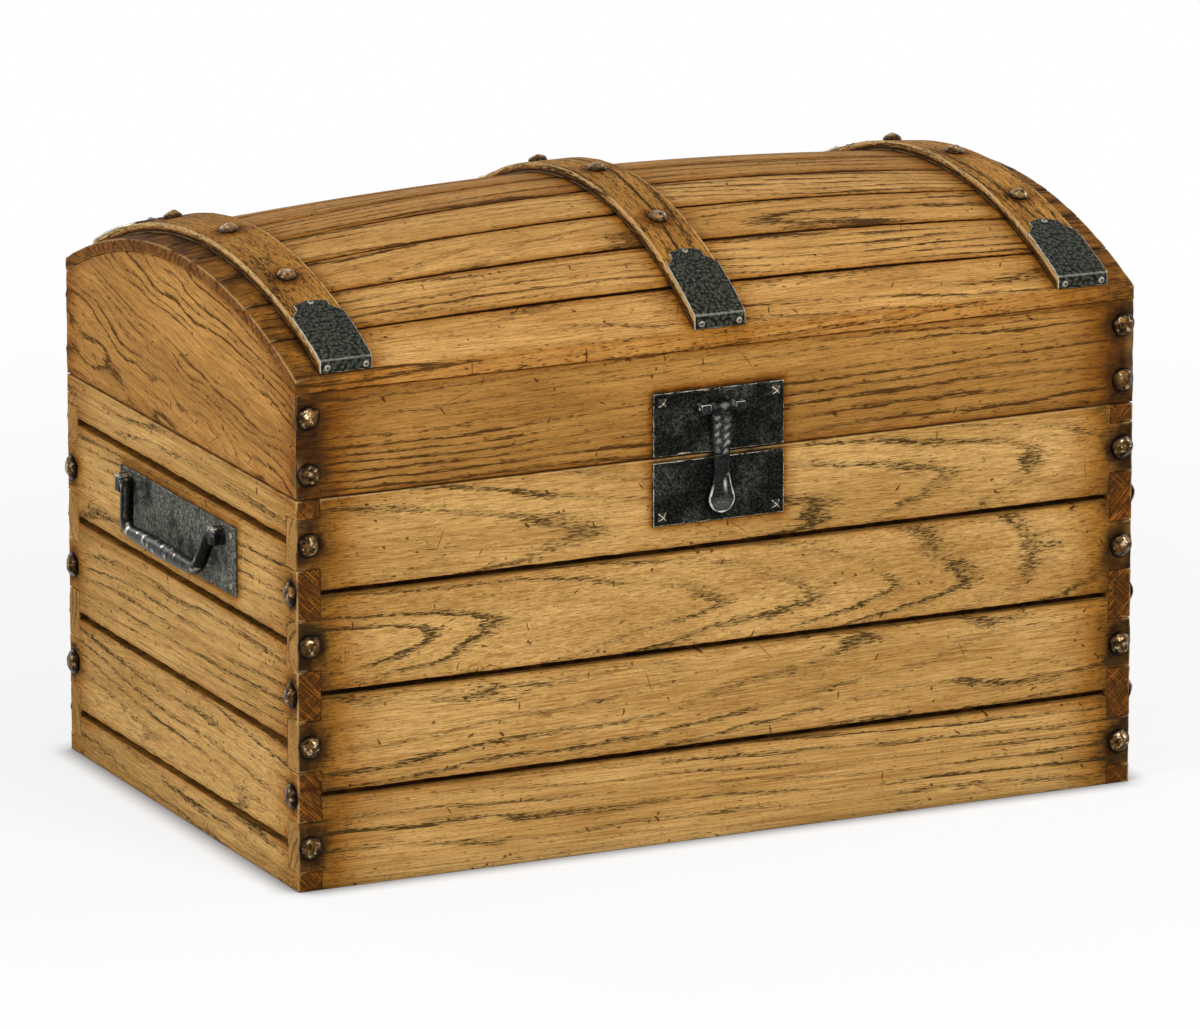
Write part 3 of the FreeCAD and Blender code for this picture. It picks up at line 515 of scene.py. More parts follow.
cleats = gathered([
    plain_board("cleat", (*a, low[2]), (*b, high[2]), along, k) for k, (a, b, along) in enumerate(rails)])
piece("oak_bottom_cleats", *cleats[:2], bottom_oak, "body", "oak_bottom", ["bottom_cleats"], heart=cleats[2])

# Boards of the lid: four oak boards mitred at the corners, the ends cut to a round top, and the upper
# edges planed to the underside of the staves. Glazed darker than the box, most of all at the corners.
lid_oak = oak(
    "oak_of_the_lid", dye(190, 141, 72), dye(144, 99, 42), 8.5, dye(72, 43, 16), open_pores=0.015,
    figure=1.6)
end_oak = oak(
    "oak_of_the_lid_ends", dye(204, 152, 80), dye(150, 104, 45), 9, dye(84, 50, 18), figure=1.5, wave=34)
lid_hearts = {"lid_front_board": (0.035, 85, 30), "lid_left_end": (0.04, 84, 34, 0.15)}
RISE_MIDDLE = 93
RISE_ENDS = 65
STAVE = 12
SEAT = 0.25
FULL = 100
LID_END_DARK = 0.3
SEAM_SHADE = 2.5
lid_low = corners("lid_front_board")[0][2]
dome_edge = corners("stave_5")[1][2] - RISE_MIDDLE


def dome_arc(x):
    """Radius and centre height of the dome's outer arc over each x."""
    rise = RISE_MIDDLE - (RISE_MIDDLE - RISE_ENDS) * (np.asarray(x) / half_width) ** 2
    radius = (half_depth ** 2 + rise ** 2) / (2 * rise)
    return radius, dome_edge + rise - radius


def dome_point(x, offset, angle):
    radius, centre = dome_arc(x)
    reach = radius + offset
    return np.stack(np.broadcast_arrays(x, reach * np.sin(angle), centre + reach * np.cos(angle)), -1)


def under_dome(x, y):
    radius, centre = dome_arc(x)
    return centre + np.sqrt((radius - STAVE - SEAT) ** 2 - y ** 2)


lid_sides = {
    "lid_front_board": "front", "lid_back_board": "back", "lid_left_end": "left", "lid_right_end": "right"}
for name, side in lid_sides.items():
    half, distance, along, inward = walls[side]
    grid = (
        cuts([-half, half], GRAIN_STEP, WORN_EDGE), cuts([0, FULL], GRAIN_STEP, WORN_EDGE),
        cuts([0, thickness], thickness, WORN_EDGE))
    points, faces, _ = block(grid, rub=1.6)
    u, v, w = points.T
    u = u * (half - w) / half
    spots = u[:, None] * along + (w - distance)[:, None] * inward
    tall = under_dome(spots[:, 0], spots[:, 1]) - lid_low
    up = v / FULL * tall
    spots[:, 2] = lid_low + up
    edges = np.maximum(np.minimum(up, tall - up), 0)
    dark, look = (FACE_GLAZE_AND_SHADE["corner"], lid_oak) if along[0] else (LID_END_DARK, end_oak)
    # Painted shade along the lower edge of each lid board draws the dark seam with the box.
    seam = GROOVE_SHADE * np.exp(-(up / SEAM_SHADE) ** 2)
    glaze = np.maximum(glazed_and_shaded(spots, edges, half - abs(u), dark), seam)
    # The lid boards' other faces are darkened, most within 4 mm of the outside: painted shade along the
    # bottom edge for the seam, dark joints at the mitres.
    mitre = np.where(w < CORNER_BAND, 0.8, np.where(w < thickness - 1, 0.4, INSIDE_DARK))
    corner = (w < CORNER_BAND) & (half - abs(u) < CORNER_BAND)
    piece(
        f"oak_{name}", spots, faces, look, "lid", "oak_lid", [name], rub=corner * 0.4,
        heart=heartwood(np.stack([u, up, w], 1), name, *lid_hearts.get(name, ())),
        glaze=np.where(w < SKIN, glaze, mitre))

# Staves of the lid: nine oak staves, steamed and bent along their length, with the outer corners cut
# back so that a dark groove opens between them. Nailed down through the straps.
stave_oak = oak(
    "oak_of_the_staves", dye(230, 180, 108), dye(190, 138, 70), 9, dye(70, 42, 16), open_pores=0.015,
    figure=1.35)
STAVES = 9
HALF_STAVE = 33
STAVE_JOINT = 0.2
STAVE_GROOVE_DEPTH = 5
STAVE_GROOVE_ENDS = 1.6
STAVE_GROOVE_MIDDLE = 4
STAVE_GROOVE_SHADE = 1.2
STAVE_EDGE_STAIN = 4
STAVE_EDGE_DARK = 0.5
STAVE_END_STAIN = 40
STAVE_END_DARK = 0.66
STRAP_WIDTH = 54
STRAP_STAIN = 16
STRAP_DARK = 0.62
EAVE_DARK = 0.15
CROWN = (4, 5, 6)
CROWN_CLEAR = 0.72
strap_names = ("strap_left", "strap_middle", "strap_right")
strap_middles = [centre_of(name)[0] for name in strap_names]
strap_sides = [x + side * STRAP_WIDTH / 2 for x in strap_middles for side in (-1, 1)]
shoulder = HALF_STAVE - STAVE_GROOVE_MIDDLE / 2
for number in range(STAVES):
    grid = (
        cuts([-half_width, half_width] + strap_sides, GRAIN_STEP, WORN_EDGE),
        cuts([-HALF_STAVE, -shoulder, shoulder, HALF_STAVE], GRAIN_STEP, WORN_EDGE),
        cuts([-STAVE, -STAVE_GROOVE_DEPTH, 0], STAVE, 1.6))
    u, v, w = middles(grid)
    near, far = number == 0, number == STAVES - 1
    cut = (w > -STAVE_GROOVE_DEPTH) & (((v < -shoulder) & (not near)) | ((v > shoulder) & (not far)))
    points, faces, ends = block(grid, ~cut, rub=1.0)
    u, v, w = points.T
    radius, _ = dome_arc(u)
    edge = np.arcsin(half_depth / radius)
    pitch = 2 * edge / STAVES
    groove = STAVE_GROOVE_MIDDLE - (STAVE_GROOVE_MIDDLE - STAVE_GROOVE_ENDS) * (u / half_width) ** 2
    narrowed = v * (1 - groove / radius / pitch) / (shoulder / HALF_STAVE)
    whole = v * (1 - STAVE_JOINT / radius / pitch)
    inside = abs(v) <= shoulder + 0.01
    share = np.where(inside & ~((v < 0) & near) & ~((v > 0) & far), narrowed, whole) / HALF_STAVE
    angle = -edge + (number + 0.5 + share / 2) * pitch
    lip = np.arcsin(half_depth / (radius + w))
    upright = (lip - edge) * (abs(v) - shoulder) / (HALF_STAVE - shoulder)
    if near:
        angle = np.where(v < -shoulder, angle - upright, angle)
    if far:
        angle = np.where(v > shoulder, angle + upright, angle)
    spots = dome_point(u, w, angle)
    clear = 1 - STAVE_EDGE_DARK * np.exp(-((shoulder - abs(v)) / STAVE_EDGE_STAIN) ** 2)
    clear *= 1 - STAVE_END_DARK * np.exp(-((half_width - abs(u)) / STAVE_END_STAIN) ** 2)
    # The crown staves are darkened all over as painted shade.
    clear *= CROWN_CLEAR if number in CROWN else 1
    eave = near & (v < 3 - shoulder) | far & (v > shoulder - 3)
    dark = np.where(eave, EAVE_DARK, STRAP_DARK)
    # Darker beside each strap: a wide band of glaze, and a tight painted shadow at the strap's edge.
    for x in strap_middles:
        gap = np.maximum(abs(u - x) - STRAP_WIDTH / 2, 0)
        clear *= (1 - dark * np.exp(-gap / STRAP_STAIN)) * (1 - dark * np.exp(-gap / 2))
    # The faces inside the grooves between staves get painted shade.
    grooved = (w < -SKIN) & (abs(v) > shoulder - SKIN) & ~((v < 0) & near) & ~((v > 0) & far)
    glaze = np.where(grooved & (half_width - abs(u) > SKIN), STAVE_GROOVE_SHADE, 1 - clear)
    glaze = np.where(w > 1 - STAVE, glaze, 0.7 * (abs(v) > HALF_STAVE - 1))
    name = f"stave_{number + 1}"
    piece(
        f"oak_{name}", spots, faces, stave_oak, "lid", "oak_staves", [name],
        rub=(half_width - abs(u) < 3) & (w > -2),
        heart=heartwood(points, f"bent_{name}"), glaze=glaze, end_grain=ends * 0.75)

# Straps: three thinner oak strips bent over the staves and held by forged studs. Browner than the
# staves, with rubbed edges.
strap_oak = oak(
    "oak_of_the_straps", dye(204, 148, 72), dye(146, 98, 38), 9, dye(50, 32, 14), open_pores=0.1, figure=1.2)
STRAP = 10
SETBACK = 6.5
STRAP_FOOT = 3
STRAP_FOOT_SHADE = 1.1
STRAP_EDGE_STAIN = 4
STRAP_EDGE_DARK = 0.3
STRAP_STUD_HALO = 7
STRAP_STUD_DARK = 0.75


def strap_end(x, offset):
    """Angle over the dome at which a layer of the strap meets its upright end."""
    return np.arcsin((half_depth - SETBACK) / (dome_arc(x)[0] + offset))


strap_seats = [seat for seat, _ in fasteners("strap_studs")]
for name, middle in zip(strap_names, strap_middles):
    half_run = float(strap_end(middle, STRAP) * (dome_arc(middle)[0] + STRAP))
    grid = (
        cuts([-half_run, half_run], 8, WORN_EDGE), cuts([-STRAP_WIDTH / 2, STRAP_WIDTH / 2], 6, WORN_EDGE),
        cuts([0, STRAP], STRAP, WORN_EDGE))
    points, faces, ends = block(grid, rub=1.0)
    u, v, w = points.T
    spots = dome_point(middle + v, SEAT + w, u / half_run * strap_end(middle + v, SEAT + w))
    clear = 1 - STRAP_EDGE_DARK * np.exp(-((STRAP_WIDTH / 2 - abs(v)) / STRAP_EDGE_STAIN) ** 2)
    # Halos round the strap studs: partly glaze, partly painted shadow.
    clear *= clear_of_studs(spots, strap_seats, STRAP_STUD_DARK, STRAP_STUD_HALO)
    side = (abs(v) > STRAP_WIDTH / 2 - 1.5) & (w > STRAP_FOOT)
    # The foot of each strap, where it sits on the staves, gets painted shade.
    glaze = np.where(w < STRAP_FOOT, STRAP_FOOT_SHADE, (1 - clear) * ~side)
    piece(
        f"oak_{name}", spots, faces, strap_oak, "lid", "oak_straps", [name],
        heart=heartwood(points, name), glaze=glaze, end_grain=ends, bare=side * 0.9)

# Strap caps: sheet iron, hammered all over and blacked, folded down over the ends of the straps, with
# slanted shoulders and a narrower tab that runs up the strap.
CAP = 2.5
CAP_FIT = 0.2
CAP_LENGTH = 72
CAP_SHOULDER = 8
CAP_LIFT = 1
CAP_DROP = 13
CAP_BEND = 3.5
CAP_STEP = 1.1
TAB_LENGTH = 15
TAB_WIDTH = 34
TAB_CROWN = 5
PEBBLE = 4.2
PEBBLE_DEPTH = 0.7


def iron(name, black, grey, bright, gloss, shine, scuffed=0.0, speckle=0.25, clouds=1.0, metal=0.0):
    """Blackened iron: speckled scale, brushed scuffs, rubbed bare edges, and painted light and glints on
    relief.
    """
    made, shader, start = material(name)
    place = start.place()
    wear, ridge, polish = [start.fact(n) for n in ("wear", "ridge", "polish")]
    mottle = place.noise((9, 9, 9), 4.0, 0.65)
    grit = place.noise((2.0, 2.0, 2.0), 3.0, 0.6)
    slanted = place.node(
        "VectorRotate", {"rotation_type": "EULER_XYZ"}, {"Vector": place, "Rotation": (0.8, 0.7, 0.2)})
    brushed = slanted.noise((2.2, 2.2, 26), 2.0, 0.6).fade(0.46, 0.64)
    patch = (place.noise((30, 30, 30), 3.0) + scuffed).fade(0.44, 0.68) * clouds
    scale = grit.fade(0.44, 0.66)
    shade = scale * speckle + patch * (0.1 + brushed * 0.6 + scale * speckle * 1.4)
    # Painted light on proud relief, such as pebble tops and scale crests.
    shade = shade + ridge * (0.3 + scale * 0.6)
    broken = mottle * 0.8 + grit * 0.6
    rubbed = wear.fade(0.25, 0.7) * broken.fade(0.56, 0.78)
    # Rubbed bare metal at the edges, and bright spots marked on the mesh, partly rubbed metal and partly
    # painted glints.
    rubbed = rubbed.math("MAXIMUM", polish * broken.fade(0.44, 0.68))
    colour = shade.blend(black, grey)
    colour = (rubbed * 0.92).blend(colour, bright)
    relief = grit * 0.7 + mottle * 0.8 + brushed * 0.15
    bump = relief.bump(0.55)
    dullness = gloss + grit * 0.18 + mottle * 0.15 - rubbed * 0.1
    feed(place, shader, Base_Color=colour, Roughness=dullness, Metallic=metal + rubbed * 0.6, Normal=bump)
    shader.inputs["Specular IOR Level"].default_value = shine
    return made


def eased(share):
    """A share held between 0 and 1, with soft ends."""
    share = np.clip(share, 0, 1)
    return share ** 2 * (3 - 2 * share)


def dimples(points, size, depth, seed):
    """Hollows of a hammered face: how far each point of a flat pattern is beaten in."""
    draw = random.Random(seed)
    flat = np.asarray(points, float)
    low, high = flat.min(0) - size, flat.max(0) + size
    spots = [
        (x + draw.uniform(-0.42, 0.42) * size, y + draw.uniform(-0.42, 0.42) * size, 0)
        for x in np.arange(low[0], high[0], size) for y in np.arange(low[1], high[1], size)]
    tree = kdtree.KDTree(len(spots))
    for n, spot in enumerate(spots):
        tree.insert(spot, n)
    tree.balance()
    near = np.array([tree.find((x, y, 0))[2] for x, y in flat])
    return depth * (1 - np.minimum(near / (0.62 * size), 1) ** 2)


hammered = iron(
    "hammered_iron", dye(5, 6, 4), dye(88, 90, 77), dye(226, 220, 200), 0.3, 0.07, speckle=0.1, clouds=0.15)
cap_offset = SEAT + STRAP + CAP_FIT + CAP / 2
cap_y = half_depth - SETBACK + CAP_FIT + CAP / 2
for face, node in ((-1, "front_strap_caps"), (1, "back_strap_caps")):
    parts = []
    for middle in strap_middles:
        grid = (
            cuts([-CAP_DROP, CAP_LENGTH + CAP_SHOULDER + TAB_LENGTH], CAP_STEP, 0.7),
            cuts([-STRAP_WIDTH / 2, STRAP_WIDTH / 2], CAP_STEP, 0.7), cuts([-CAP / 2, CAP / 2], CAP, 0.6))
        points, faces, _ = block(grid, rub=0.45)
        u, v, w = points.T
        pebble = dimples(points[:, :2], PEBBLE, 1.0, f"{node}{middle}")
        w = w - PEBBLE_DEPTH * (1 - pebble) * (w > 0)
        narrow = eased((u - CAP_LENGTH + CAP_SHOULDER / 2) / (2 * CAP_SHOULDER))
        tip = np.clip((u - CAP_LENGTH - CAP_SHOULDER) / TAB_LENGTH, 0, 1)
        x = middle + v * (1 - narrow * (1 - TAB_WIDTH / STRAP_WIDTH))
        u = u - tip * TAB_CROWN * (2 * v / STRAP_WIDTH) ** 2
        radius, centre = dome_arc(x)
        reach = radius + cap_offset
        fold = np.arcsin(cap_y / reach)
        fold_z = centre + reach * np.cos(fold)
        foot_z = centre + np.sqrt((radius + CAP_LIFT) ** 2 - cap_y ** 2)
        over = fold - np.maximum(u, CAP_BEND) / reach
        arc = np.stack([reach * np.sin(over), centre + reach * np.cos(over)], 1)
        rise = np.stack([np.sin(over), np.cos(over)], 1)
        drop = np.minimum(u, -CAP_BEND) * (fold_z - foot_z) / CAP_DROP
        down = np.stack([np.full(len(u), cap_y), fold_z + drop], 1)
        q = np.clip((u + CAP_BEND) / (2 * CAP_BEND), 0, 1)[:, None]
        fold_at = np.stack([np.full(len(u), cap_y), fold_z], 1)
        route = (1 - q) ** 2 * down + 2 * q * (1 - q) * fold_at + q ** 2 * arc
        out = (1 - q) * (1, 0) + q * rise
        spot = route + w[:, None] * out / np.linalg.norm(out, axis=1)[:, None]
        rim = abs(v) > STRAP_WIDTH / 2 - 0.5
        rim = np.maximum(rim * 0.95, (abs(u) < 0.9) * (w > 0.2) * 0.2)
        # Pebble tops get painted light, their hollows stay black as painted shade.
        top = np.clip((pebble - 0.3) / 0.5, 0, 1)
        parts.append((np.stack([x, face * spot[:, 0], spot[:, 1]], 1), faces, rim, top))
    caps = gathered(parts)
    piece(
        f"iron_{node}", *caps[:2], hammered, "lid", "hammered_iron", [node], sharp=60, rub=0.7,
        polish=caps[2], ridge=caps[3])

# Studs: forged iron nails with round heads, beaten to uneven facets and browned, driven into each
# full finger of the corners, into the ends of the lid's boards and through the straps.
STUD_HEIGHT = 8.5
STUD_RIM = 2.0
STRAP_STUD_RADIUS = 9.6
STUD_SIDES = 36
STUD_RINGS = 11


def ring_quads(rings, sides):
    """Quads between each ring of points and the next."""
    return [
        [k * sides + s, k * sides + n, (k + 1) * sides + n, (k + 1) * sides + s]
        for k in range(rings - 1) for s, n in enumerate([*range(1, sides), 0])]


def forged_head(seat, outward, radius, rim, height, facets, seed, sides):
    """A round nail head beaten flat in places: points, faces and how near each point is to its crown."""
    draw = random.Random(seed)
    ball = (radius ** 2 + (height - rim) ** 2) / (2 * (height - rim))
    widest = math.asin(radius / ball)
    profile = [(radius * 0.9, 0.0), (radius, rim * 0.45), (radius, rim)]
    for k in range(1, STUD_RINGS):
        a = widest * (1 - k / STUD_RINGS)
        profile.append((ball * math.sin(a), height - ball + ball * math.cos(a)))
    turns = np.arange(sides) * 2 * math.pi / sides
    lumps = 1 + 0.05 * np.array([
        noise.noise((2 * math.cos(t), 2 * math.sin(t), draw.random())) for t in turns])
    rings = [
        np.stack([r * lumps * np.cos(turns), r * lumps * np.sin(turns), np.full(sides, z)], 1)
        for r, z in profile]
    points = np.concatenate(rings + [[[0, 0, height]], [[0, 0, 0]]])
    crown = points[:, 2] / height
    for k in range(facets):
        lean, turn = draw.uniform(0.15, 0.85), 2 * math.pi * (k + draw.uniform(-0.3, 0.3)) / facets
        way = np.array([math.sin(lean) * math.cos(turn), math.sin(lean) * math.sin(turn), math.cos(lean)])
        over = np.maximum(points @ way - (points @ way).max() + draw.uniform(0.6, 1.7) * radius / 12, 0)
        points = points - over[:, None] * way
    faces = ring_quads(len(profile), sides)
    last = (len(profile) - 1) * sides
    faces += [[last + s, last + (s + 1) % sides, last + sides] for s in range(sides)]
    faces += [[(s + 1) % sides, s, last + sides + 1] for s in range(sides)]
    turned = np.array(Vector((0, 0, 1)).rotation_difference(Vector(outward)).to_matrix())
    return np.asarray(seat) + points @ turned.T, faces, crown


def forged_iron(name, black, brown, bright):
    """Browned forged iron, dark round the rim, with specks on the crown: bare metal rubbed through, and
    painted highlight.
    """
    made, shader, start = material(name)
    place = start.place()
    crown = start.fact("crown")
    mottle = place.noise((6, 6, 6), 4.0, 0.65)
    grit = place.noise((1.9, 1.9, 1.9), 3.0, 0.6)
    colour = (crown.fade(0.25, 0.8) * mottle.fade(0.34, 0.6)).blend(black, brown)
    # Bright specks on the crown: partly rubbed metal, partly painted highlight.
    specks = (place.noise((4.5, 4.5, 4.5), 2.0) + grit * 0.3).fade(0.70, 0.82) * crown.fade(0.4, 0.75)
    colour = (specks * 0.5).blend(colour, bright)
    bump = (grit * 0.3 + mottle).bump(0.3)
    dullness = 0.25 + mottle * 0.18
    feed(place, shader, Base_Color=colour, Roughness=dullness, Normal=bump)
    shader.inputs["Metallic"].default_value = 0.95
    return made


stud_iron = forged_iron("forged_studs", dye(18, 12, 6), dye(96, 67, 34), dye(234, 210, 166))
# A paler copy for the studs on the straps, lighter as painted light on the lid's top.
paler_stud_iron = forged_iron("lit_studs", dye(46, 32, 18), dye(148, 112, 66), dye(244, 226, 190))
for node, body, look, radius, facets in (
        ("body_studs", "body", stud_iron, STUD_RADIUS, 7),
        ("lid_corner_studs", "lid", stud_iron, STUD_RADIUS, 8),
        ("strap_studs", "lid", paler_stud_iron, STRAP_STUD_RADIUS, 9)):
    heads = gathered([
        forged_head(seat, out, radius, STUD_RIM, STUD_HEIGHT, facets, f"{node}{n}", STUD_SIDES)
        for n, (seat, out) in enumerate(fasteners(node))])
    piece(f"forged_{node}", *heads[:2], look, body, "forged_studs", [node], sharp=38, crown=heads[2])

# Hasp plates: two iron plates beaten nearly flat and blacked, one on the lid and one on the box, each
# held by pyramid-headed nails in its outer corners.
plate_iron = iron("plate_iron", dye(5, 5, 3), dye(74, 78, 71), dye(218, 210, 190), 0.36, 0.04, clouds=0.85)
PLATE_STEP = 2.4
PLATE_HOLLOW = 13
PLATE_HOLLOW_DEPTH = 0.4


def plate(node, flat, outward, seed):
    """A beaten plate in a CAD node's box: points and quads, with uneven edges and shallow hollows."""
    low, high = corners(node)
    thin = [k for k in range(3) if k not in flat][0]
    grid = [cuts([a, b], PLATE_STEP, 0.8) for a, b in zip(low, high)]
    grid[thin] = cuts([low[thin], high[thin]], 9, 0.7)
    points, faces, _ = block(grid, rub=0.6)
    hollow = dimples(points[:, flat], PLATE_HOLLOW, PLATE_HOLLOW_DEPTH, seed)
    face = points[:, thin] * outward > (low[thin] + high[thin]) / 2 * outward
    points[:, thin] -= outward * hollow * face
    return points, faces


for node, body in (("hasp_upper_plate", "lid"), ("hasp_lower_plate", "body")):
    made = plate(node, [0, 2], -1, node)
    piece(f"iron_{node}", *made, plate_iron, body, "hammered_iron", [node], sharp=60)

# Hasp: two lugs on the upper plate carry a pin, and the forged drop hasp swings on it. Its barrel is
# rolled, its strap tapers and is punched with rows of scales, and its foot is dished for the thumb.
HASP_TOP = 23
HASP_NECK = 14.5
NECK_DROP = 60
PULL_DROP = 91
PULL_RADIUS = 13.5
HASP_THICKNESS = 3.5
BARREL = 26
BARREL_RADIUS = 5.5
SLIM = 0.95
SCALE_START = 5
SCALE_ROW = 8.2
SCALE_END = 47
SCALE_DEPTH = 2.0
DISH_DEPTH = 2.6
DISH_TOP = 66
RIM = 1.3
LUG = 10
LUG_CHAMFER = 0.9
hasp_iron = iron(
    "hasp_iron", dye(7, 7, 5), dye(96, 100, 96), dye(216, 212, 198), 0.26, 0.1, speckle=0.2, clouds=0.5)
hasp_x = centre_of("hasp")[0]
pin_low, pin_high = corners("hasp_pin")
_, pin_y, pin_z = centre_of("hasp_pin")


def tube(route, radii, sides, lumps, seed):
    """A forged bar along a route, with flat ends: points, faces and how proud each point stands."""
    route = np.asarray(route, float)
    ahead = np.gradient(route, axis=0)
    ahead /= np.linalg.norm(ahead, axis=1)[:, None]
    normal = np.cross(ahead[0], (0.31, 0.52, 0.79))
    points, proud = [], []
    count = len(route)
    start = Vector((random.Random(seed).uniform(0, 90), 0, 0))
    for k in range(count):
        normal = normal - ahead[k] * (normal @ ahead[k])
        normal /= np.linalg.norm(normal)
        side = np.cross(ahead[k], normal)
        for s in range(sides):
            a = 2 * math.pi * s / sides
            way = math.cos(a) * normal + math.sin(a) * side
            lump = noise.noise(Vector(route[k] + way * radii[k]) / 7 + start)
            proud.append(lump)
            points.append(route[k] + way * radii[k] * (1 + lumps * lump))
    faces = ring_quads(count, sides)
    faces.append(list(range(sides))[::-1])
    faces.append([(count - 1) * sides + s for s in range(sides)])
    return np.array(points), faces, np.array(proud)


def cross_bar(start, end, radius, worn, rings, sides, lumps, seed):
    """A bar along the hasp's pin, with its ends rubbed thinner."""
    radii = np.full(rings, radius)
    radii[[0, -1]] *= worn
    return tube([(x, pin_y, pin_z) for x in np.linspace(start, end, rings)], radii, sides, lumps, seed)


def lug_block(low, high, chamfer):
    """A small forged block with its corners beaten off."""
    points, faces, _ = block([cuts([a, b], 3, chamfer) for a, b in zip(low, high)], rub=chamfer)
    uneven = [[noise.noise(Vector(p) / 5 + Vector((far, 0, 0))) for far in (0, 31, 67)] for p in points]
    return np.clip(points + 0.25 * np.array(uneven), low, high), faces


lug_low, lug_high = corners("hasp_lugs")
lugs = gathered([
    lug_block(lug_low, (lug_low[0] + LUG, lug_high[1], lug_high[2]), LUG_CHAMFER),
    lug_block((lug_high[0] - LUG, lug_low[1], lug_low[2]), lug_high, LUG_CHAMFER)])
# The lugs' worn edges brighten toward the top: partly wear, partly painted highlight on the upper edges.
upper = np.clip((lugs[0][:, 2] - lug_low[2]) / (lug_high[2] - lug_low[2]) * 1.4 - 0.2, 0.1, 1)
piece("iron_hasp_lugs", *lugs, hasp_iron, "lid", "hammered_iron", ["hasp_lugs"], sharp=60, rub=upper)
pin = cross_bar(pin_low[0], pin_high[0], (pin_high[2] - pin_low[2]) / 2, 0.7, 12, 12, 0.02, "pin")
piece("iron_hasp_pin", *pin[:2], hasp_iron, "lid", "hammered_iron", ["hasp_pin"])

grid = (
    cuts([0, PULL_DROP + PULL_RADIUS], 0.7, 0.6), cuts([-1, 1], 0.06, 0.04),
    cuts([-HASP_THICKNESS / 2, HASP_THICKNESS / 2], 9, 0.6))
points, faces, _ = block(grid)
u, v, w = points.T
taper = HASP_TOP / 2 + (HASP_NECK - HASP_TOP) / 2 * np.clip(u / NECK_DROP, 0, 1)
disc = np.sqrt(np.maximum(PULL_RADIUS ** 2 - (u - PULL_DROP) ** 2, 1.5))
pull_top = PULL_DROP - PULL_RADIUS * 0.4
flare = np.clip((u - NECK_DROP) / (pull_top - NECK_DROP), 0, 1)
pear = taper + (PULL_RADIUS * 0.917 - taper) * flare ** 1.5
wide = np.where(u < pull_top, pear, disc)
column = v + 1 + 0.10 * np.sin(u / 3.1) + 0.06 * np.sin(u / 1.3 + 2)
row = (u - SCALE_START) / SCALE_ROW + 0.5 * (column >= 1) + 0.25 * v + 0.12 * np.sin(5.1 * v + u / 9)
lump = np.clip((1 - (2 * (row % 1) - 1) ** 2) * (1 - (2 * (column % 1) - 1) ** 2), 0, 1) ** 0.5
scaled = (u > SCALE_START) & (u < SCALE_END) & (abs(v) < 0.999)
margin = np.minimum(np.minimum(wide * (1 - abs(v)), PULL_DROP + PULL_RADIUS - u), (u - DISH_TOP) * 0.7)
dish = eased((margin - RIM) / 5)
rounded = 1 - np.clip((abs(v) - 0.8) / 0.2, 0, 1) ** 2 * 0.35
front = w < 0
y = pin_y + w * rounded + front * (scaled * SCALE_DEPTH * (1 - lump) + DISH_DEPTH * dish)
rim = front * (margin < RIM) * np.clip((u - DISH_TOP - 4 + 6 * v) / 8, 0, 1)
# A painted highlight streak on the right inner wall of the dished pull.
streak = dish * np.exp(-((v - 0.42) / 0.13) ** 2 - ((u - DISH_TOP - 11) / 6) ** 2)
uneven = 0.5 + 0.5 * np.sin(7.3 * np.floor(row) + 4.1 * np.floor(column))
# Painted glints on the upper part of each scale.
glint = scaled * np.clip((lump - 0.7) / 0.2, 0, 1) * np.clip(0.8 - (row % 1), 0, 0.34) * uneven
# Painted light: scale crests and the lower bowl lighter, valleys and the upper hollow left black as painted
# shade.
bowl = dish * np.clip((u - PULL_DROP + 3) / 8, 0, 1)
shades = np.where(scaled, lump ** 3, bowl)
leaf = (
    np.stack([hasp_x + v * wide, y, pin_z - u], 1), faces, shades * front,
    np.clip(rim + (streak + glint) * front, 0, 1))
barrel_low, barrel_high = hasp_x - BARREL / 2, hasp_x + BARREL / 2
barrel = cross_bar(barrel_low, barrel_high, BARREL_RADIUS * SLIM, 0.86, 22, 20, 0.04, "barrel")
# The barrel's proud lumps get painted light and faint painted glints.
hasp = gathered([leaf, barrel + (np.clip(barrel[2] - 0.2, 0, 0.15),)])
piece(
    "iron_hasp", *hasp[:2], hasp_iron, "hasp", "hammered_iron", ["hasp"], sharp=45, rub=0.4,
    ridge=hasp[2], polish=hasp[3])

# End handles: an iron plate on each end of the box, two forged lugs on it, and a bail of round bar,
# thicker in the grip, whose turned-out ends swing in the lugs.
BAIL_ROD = 7.1
BAIL_GRIP = 8.9
BAIL_END = 3.5
BAIL_ELBOW = 7.5
BAIL_CORNER = 18
BAIL_DROP = 41
BAIL_TAPER = 15
BAIL_LEAN = math.radians(10.9)
BAIL_SIDES = 26
BAIL_LUMPS = 0.06
STAND_OFF = 8.5
HANDLE_LUG = 11
HANDLE_LUG_GAP = 0.6
HANDLE_LUG_CHAMFER = 1.3
handle_iron = iron(
    "handle_iron", dye(18, 19, 15), dye(136, 137, 125), dye(212, 210, 198), 0.36, 0.05, scuffed=0.14,
    speckle=0.12)
bail_iron = iron(
    "bail_iron", dye(12, 12, 9), dye(52, 51, 45), dye(226, 222, 206), 0.12, 0.2, speckle=0.3,
    clouds=0.4, metal=0.8)
for side, out in (("left", -1), ("right", 1)):
    node = f"{side}_handle_plate"
    made = plate(node, [1, 2], out, node)
    piece(f"iron_{node}", *made, handle_iron, "body", "hammered_iron", [node], sharp=60, rub=0.55)
plate_face = corners("right_handle_plate")[1][0]
lugs_low, lugs_high = corners("handle_lugs")
blocks = []
for out in (-1, 1):
    for end in (-1, 1):
        xs = sorted((out * plate_face, out * lugs_high[0]))
        ys = sorted((end * (lugs_high[1] - HANDLE_LUG), end * lugs_high[1]))
        low, high = (xs[0], ys[0], lugs_low[2]), (xs[1], ys[1], lugs_high[2])
        blocks.append(lug_block(low, high, HANDLE_LUG_CHAMFER))
blocks = gathered(blocks)
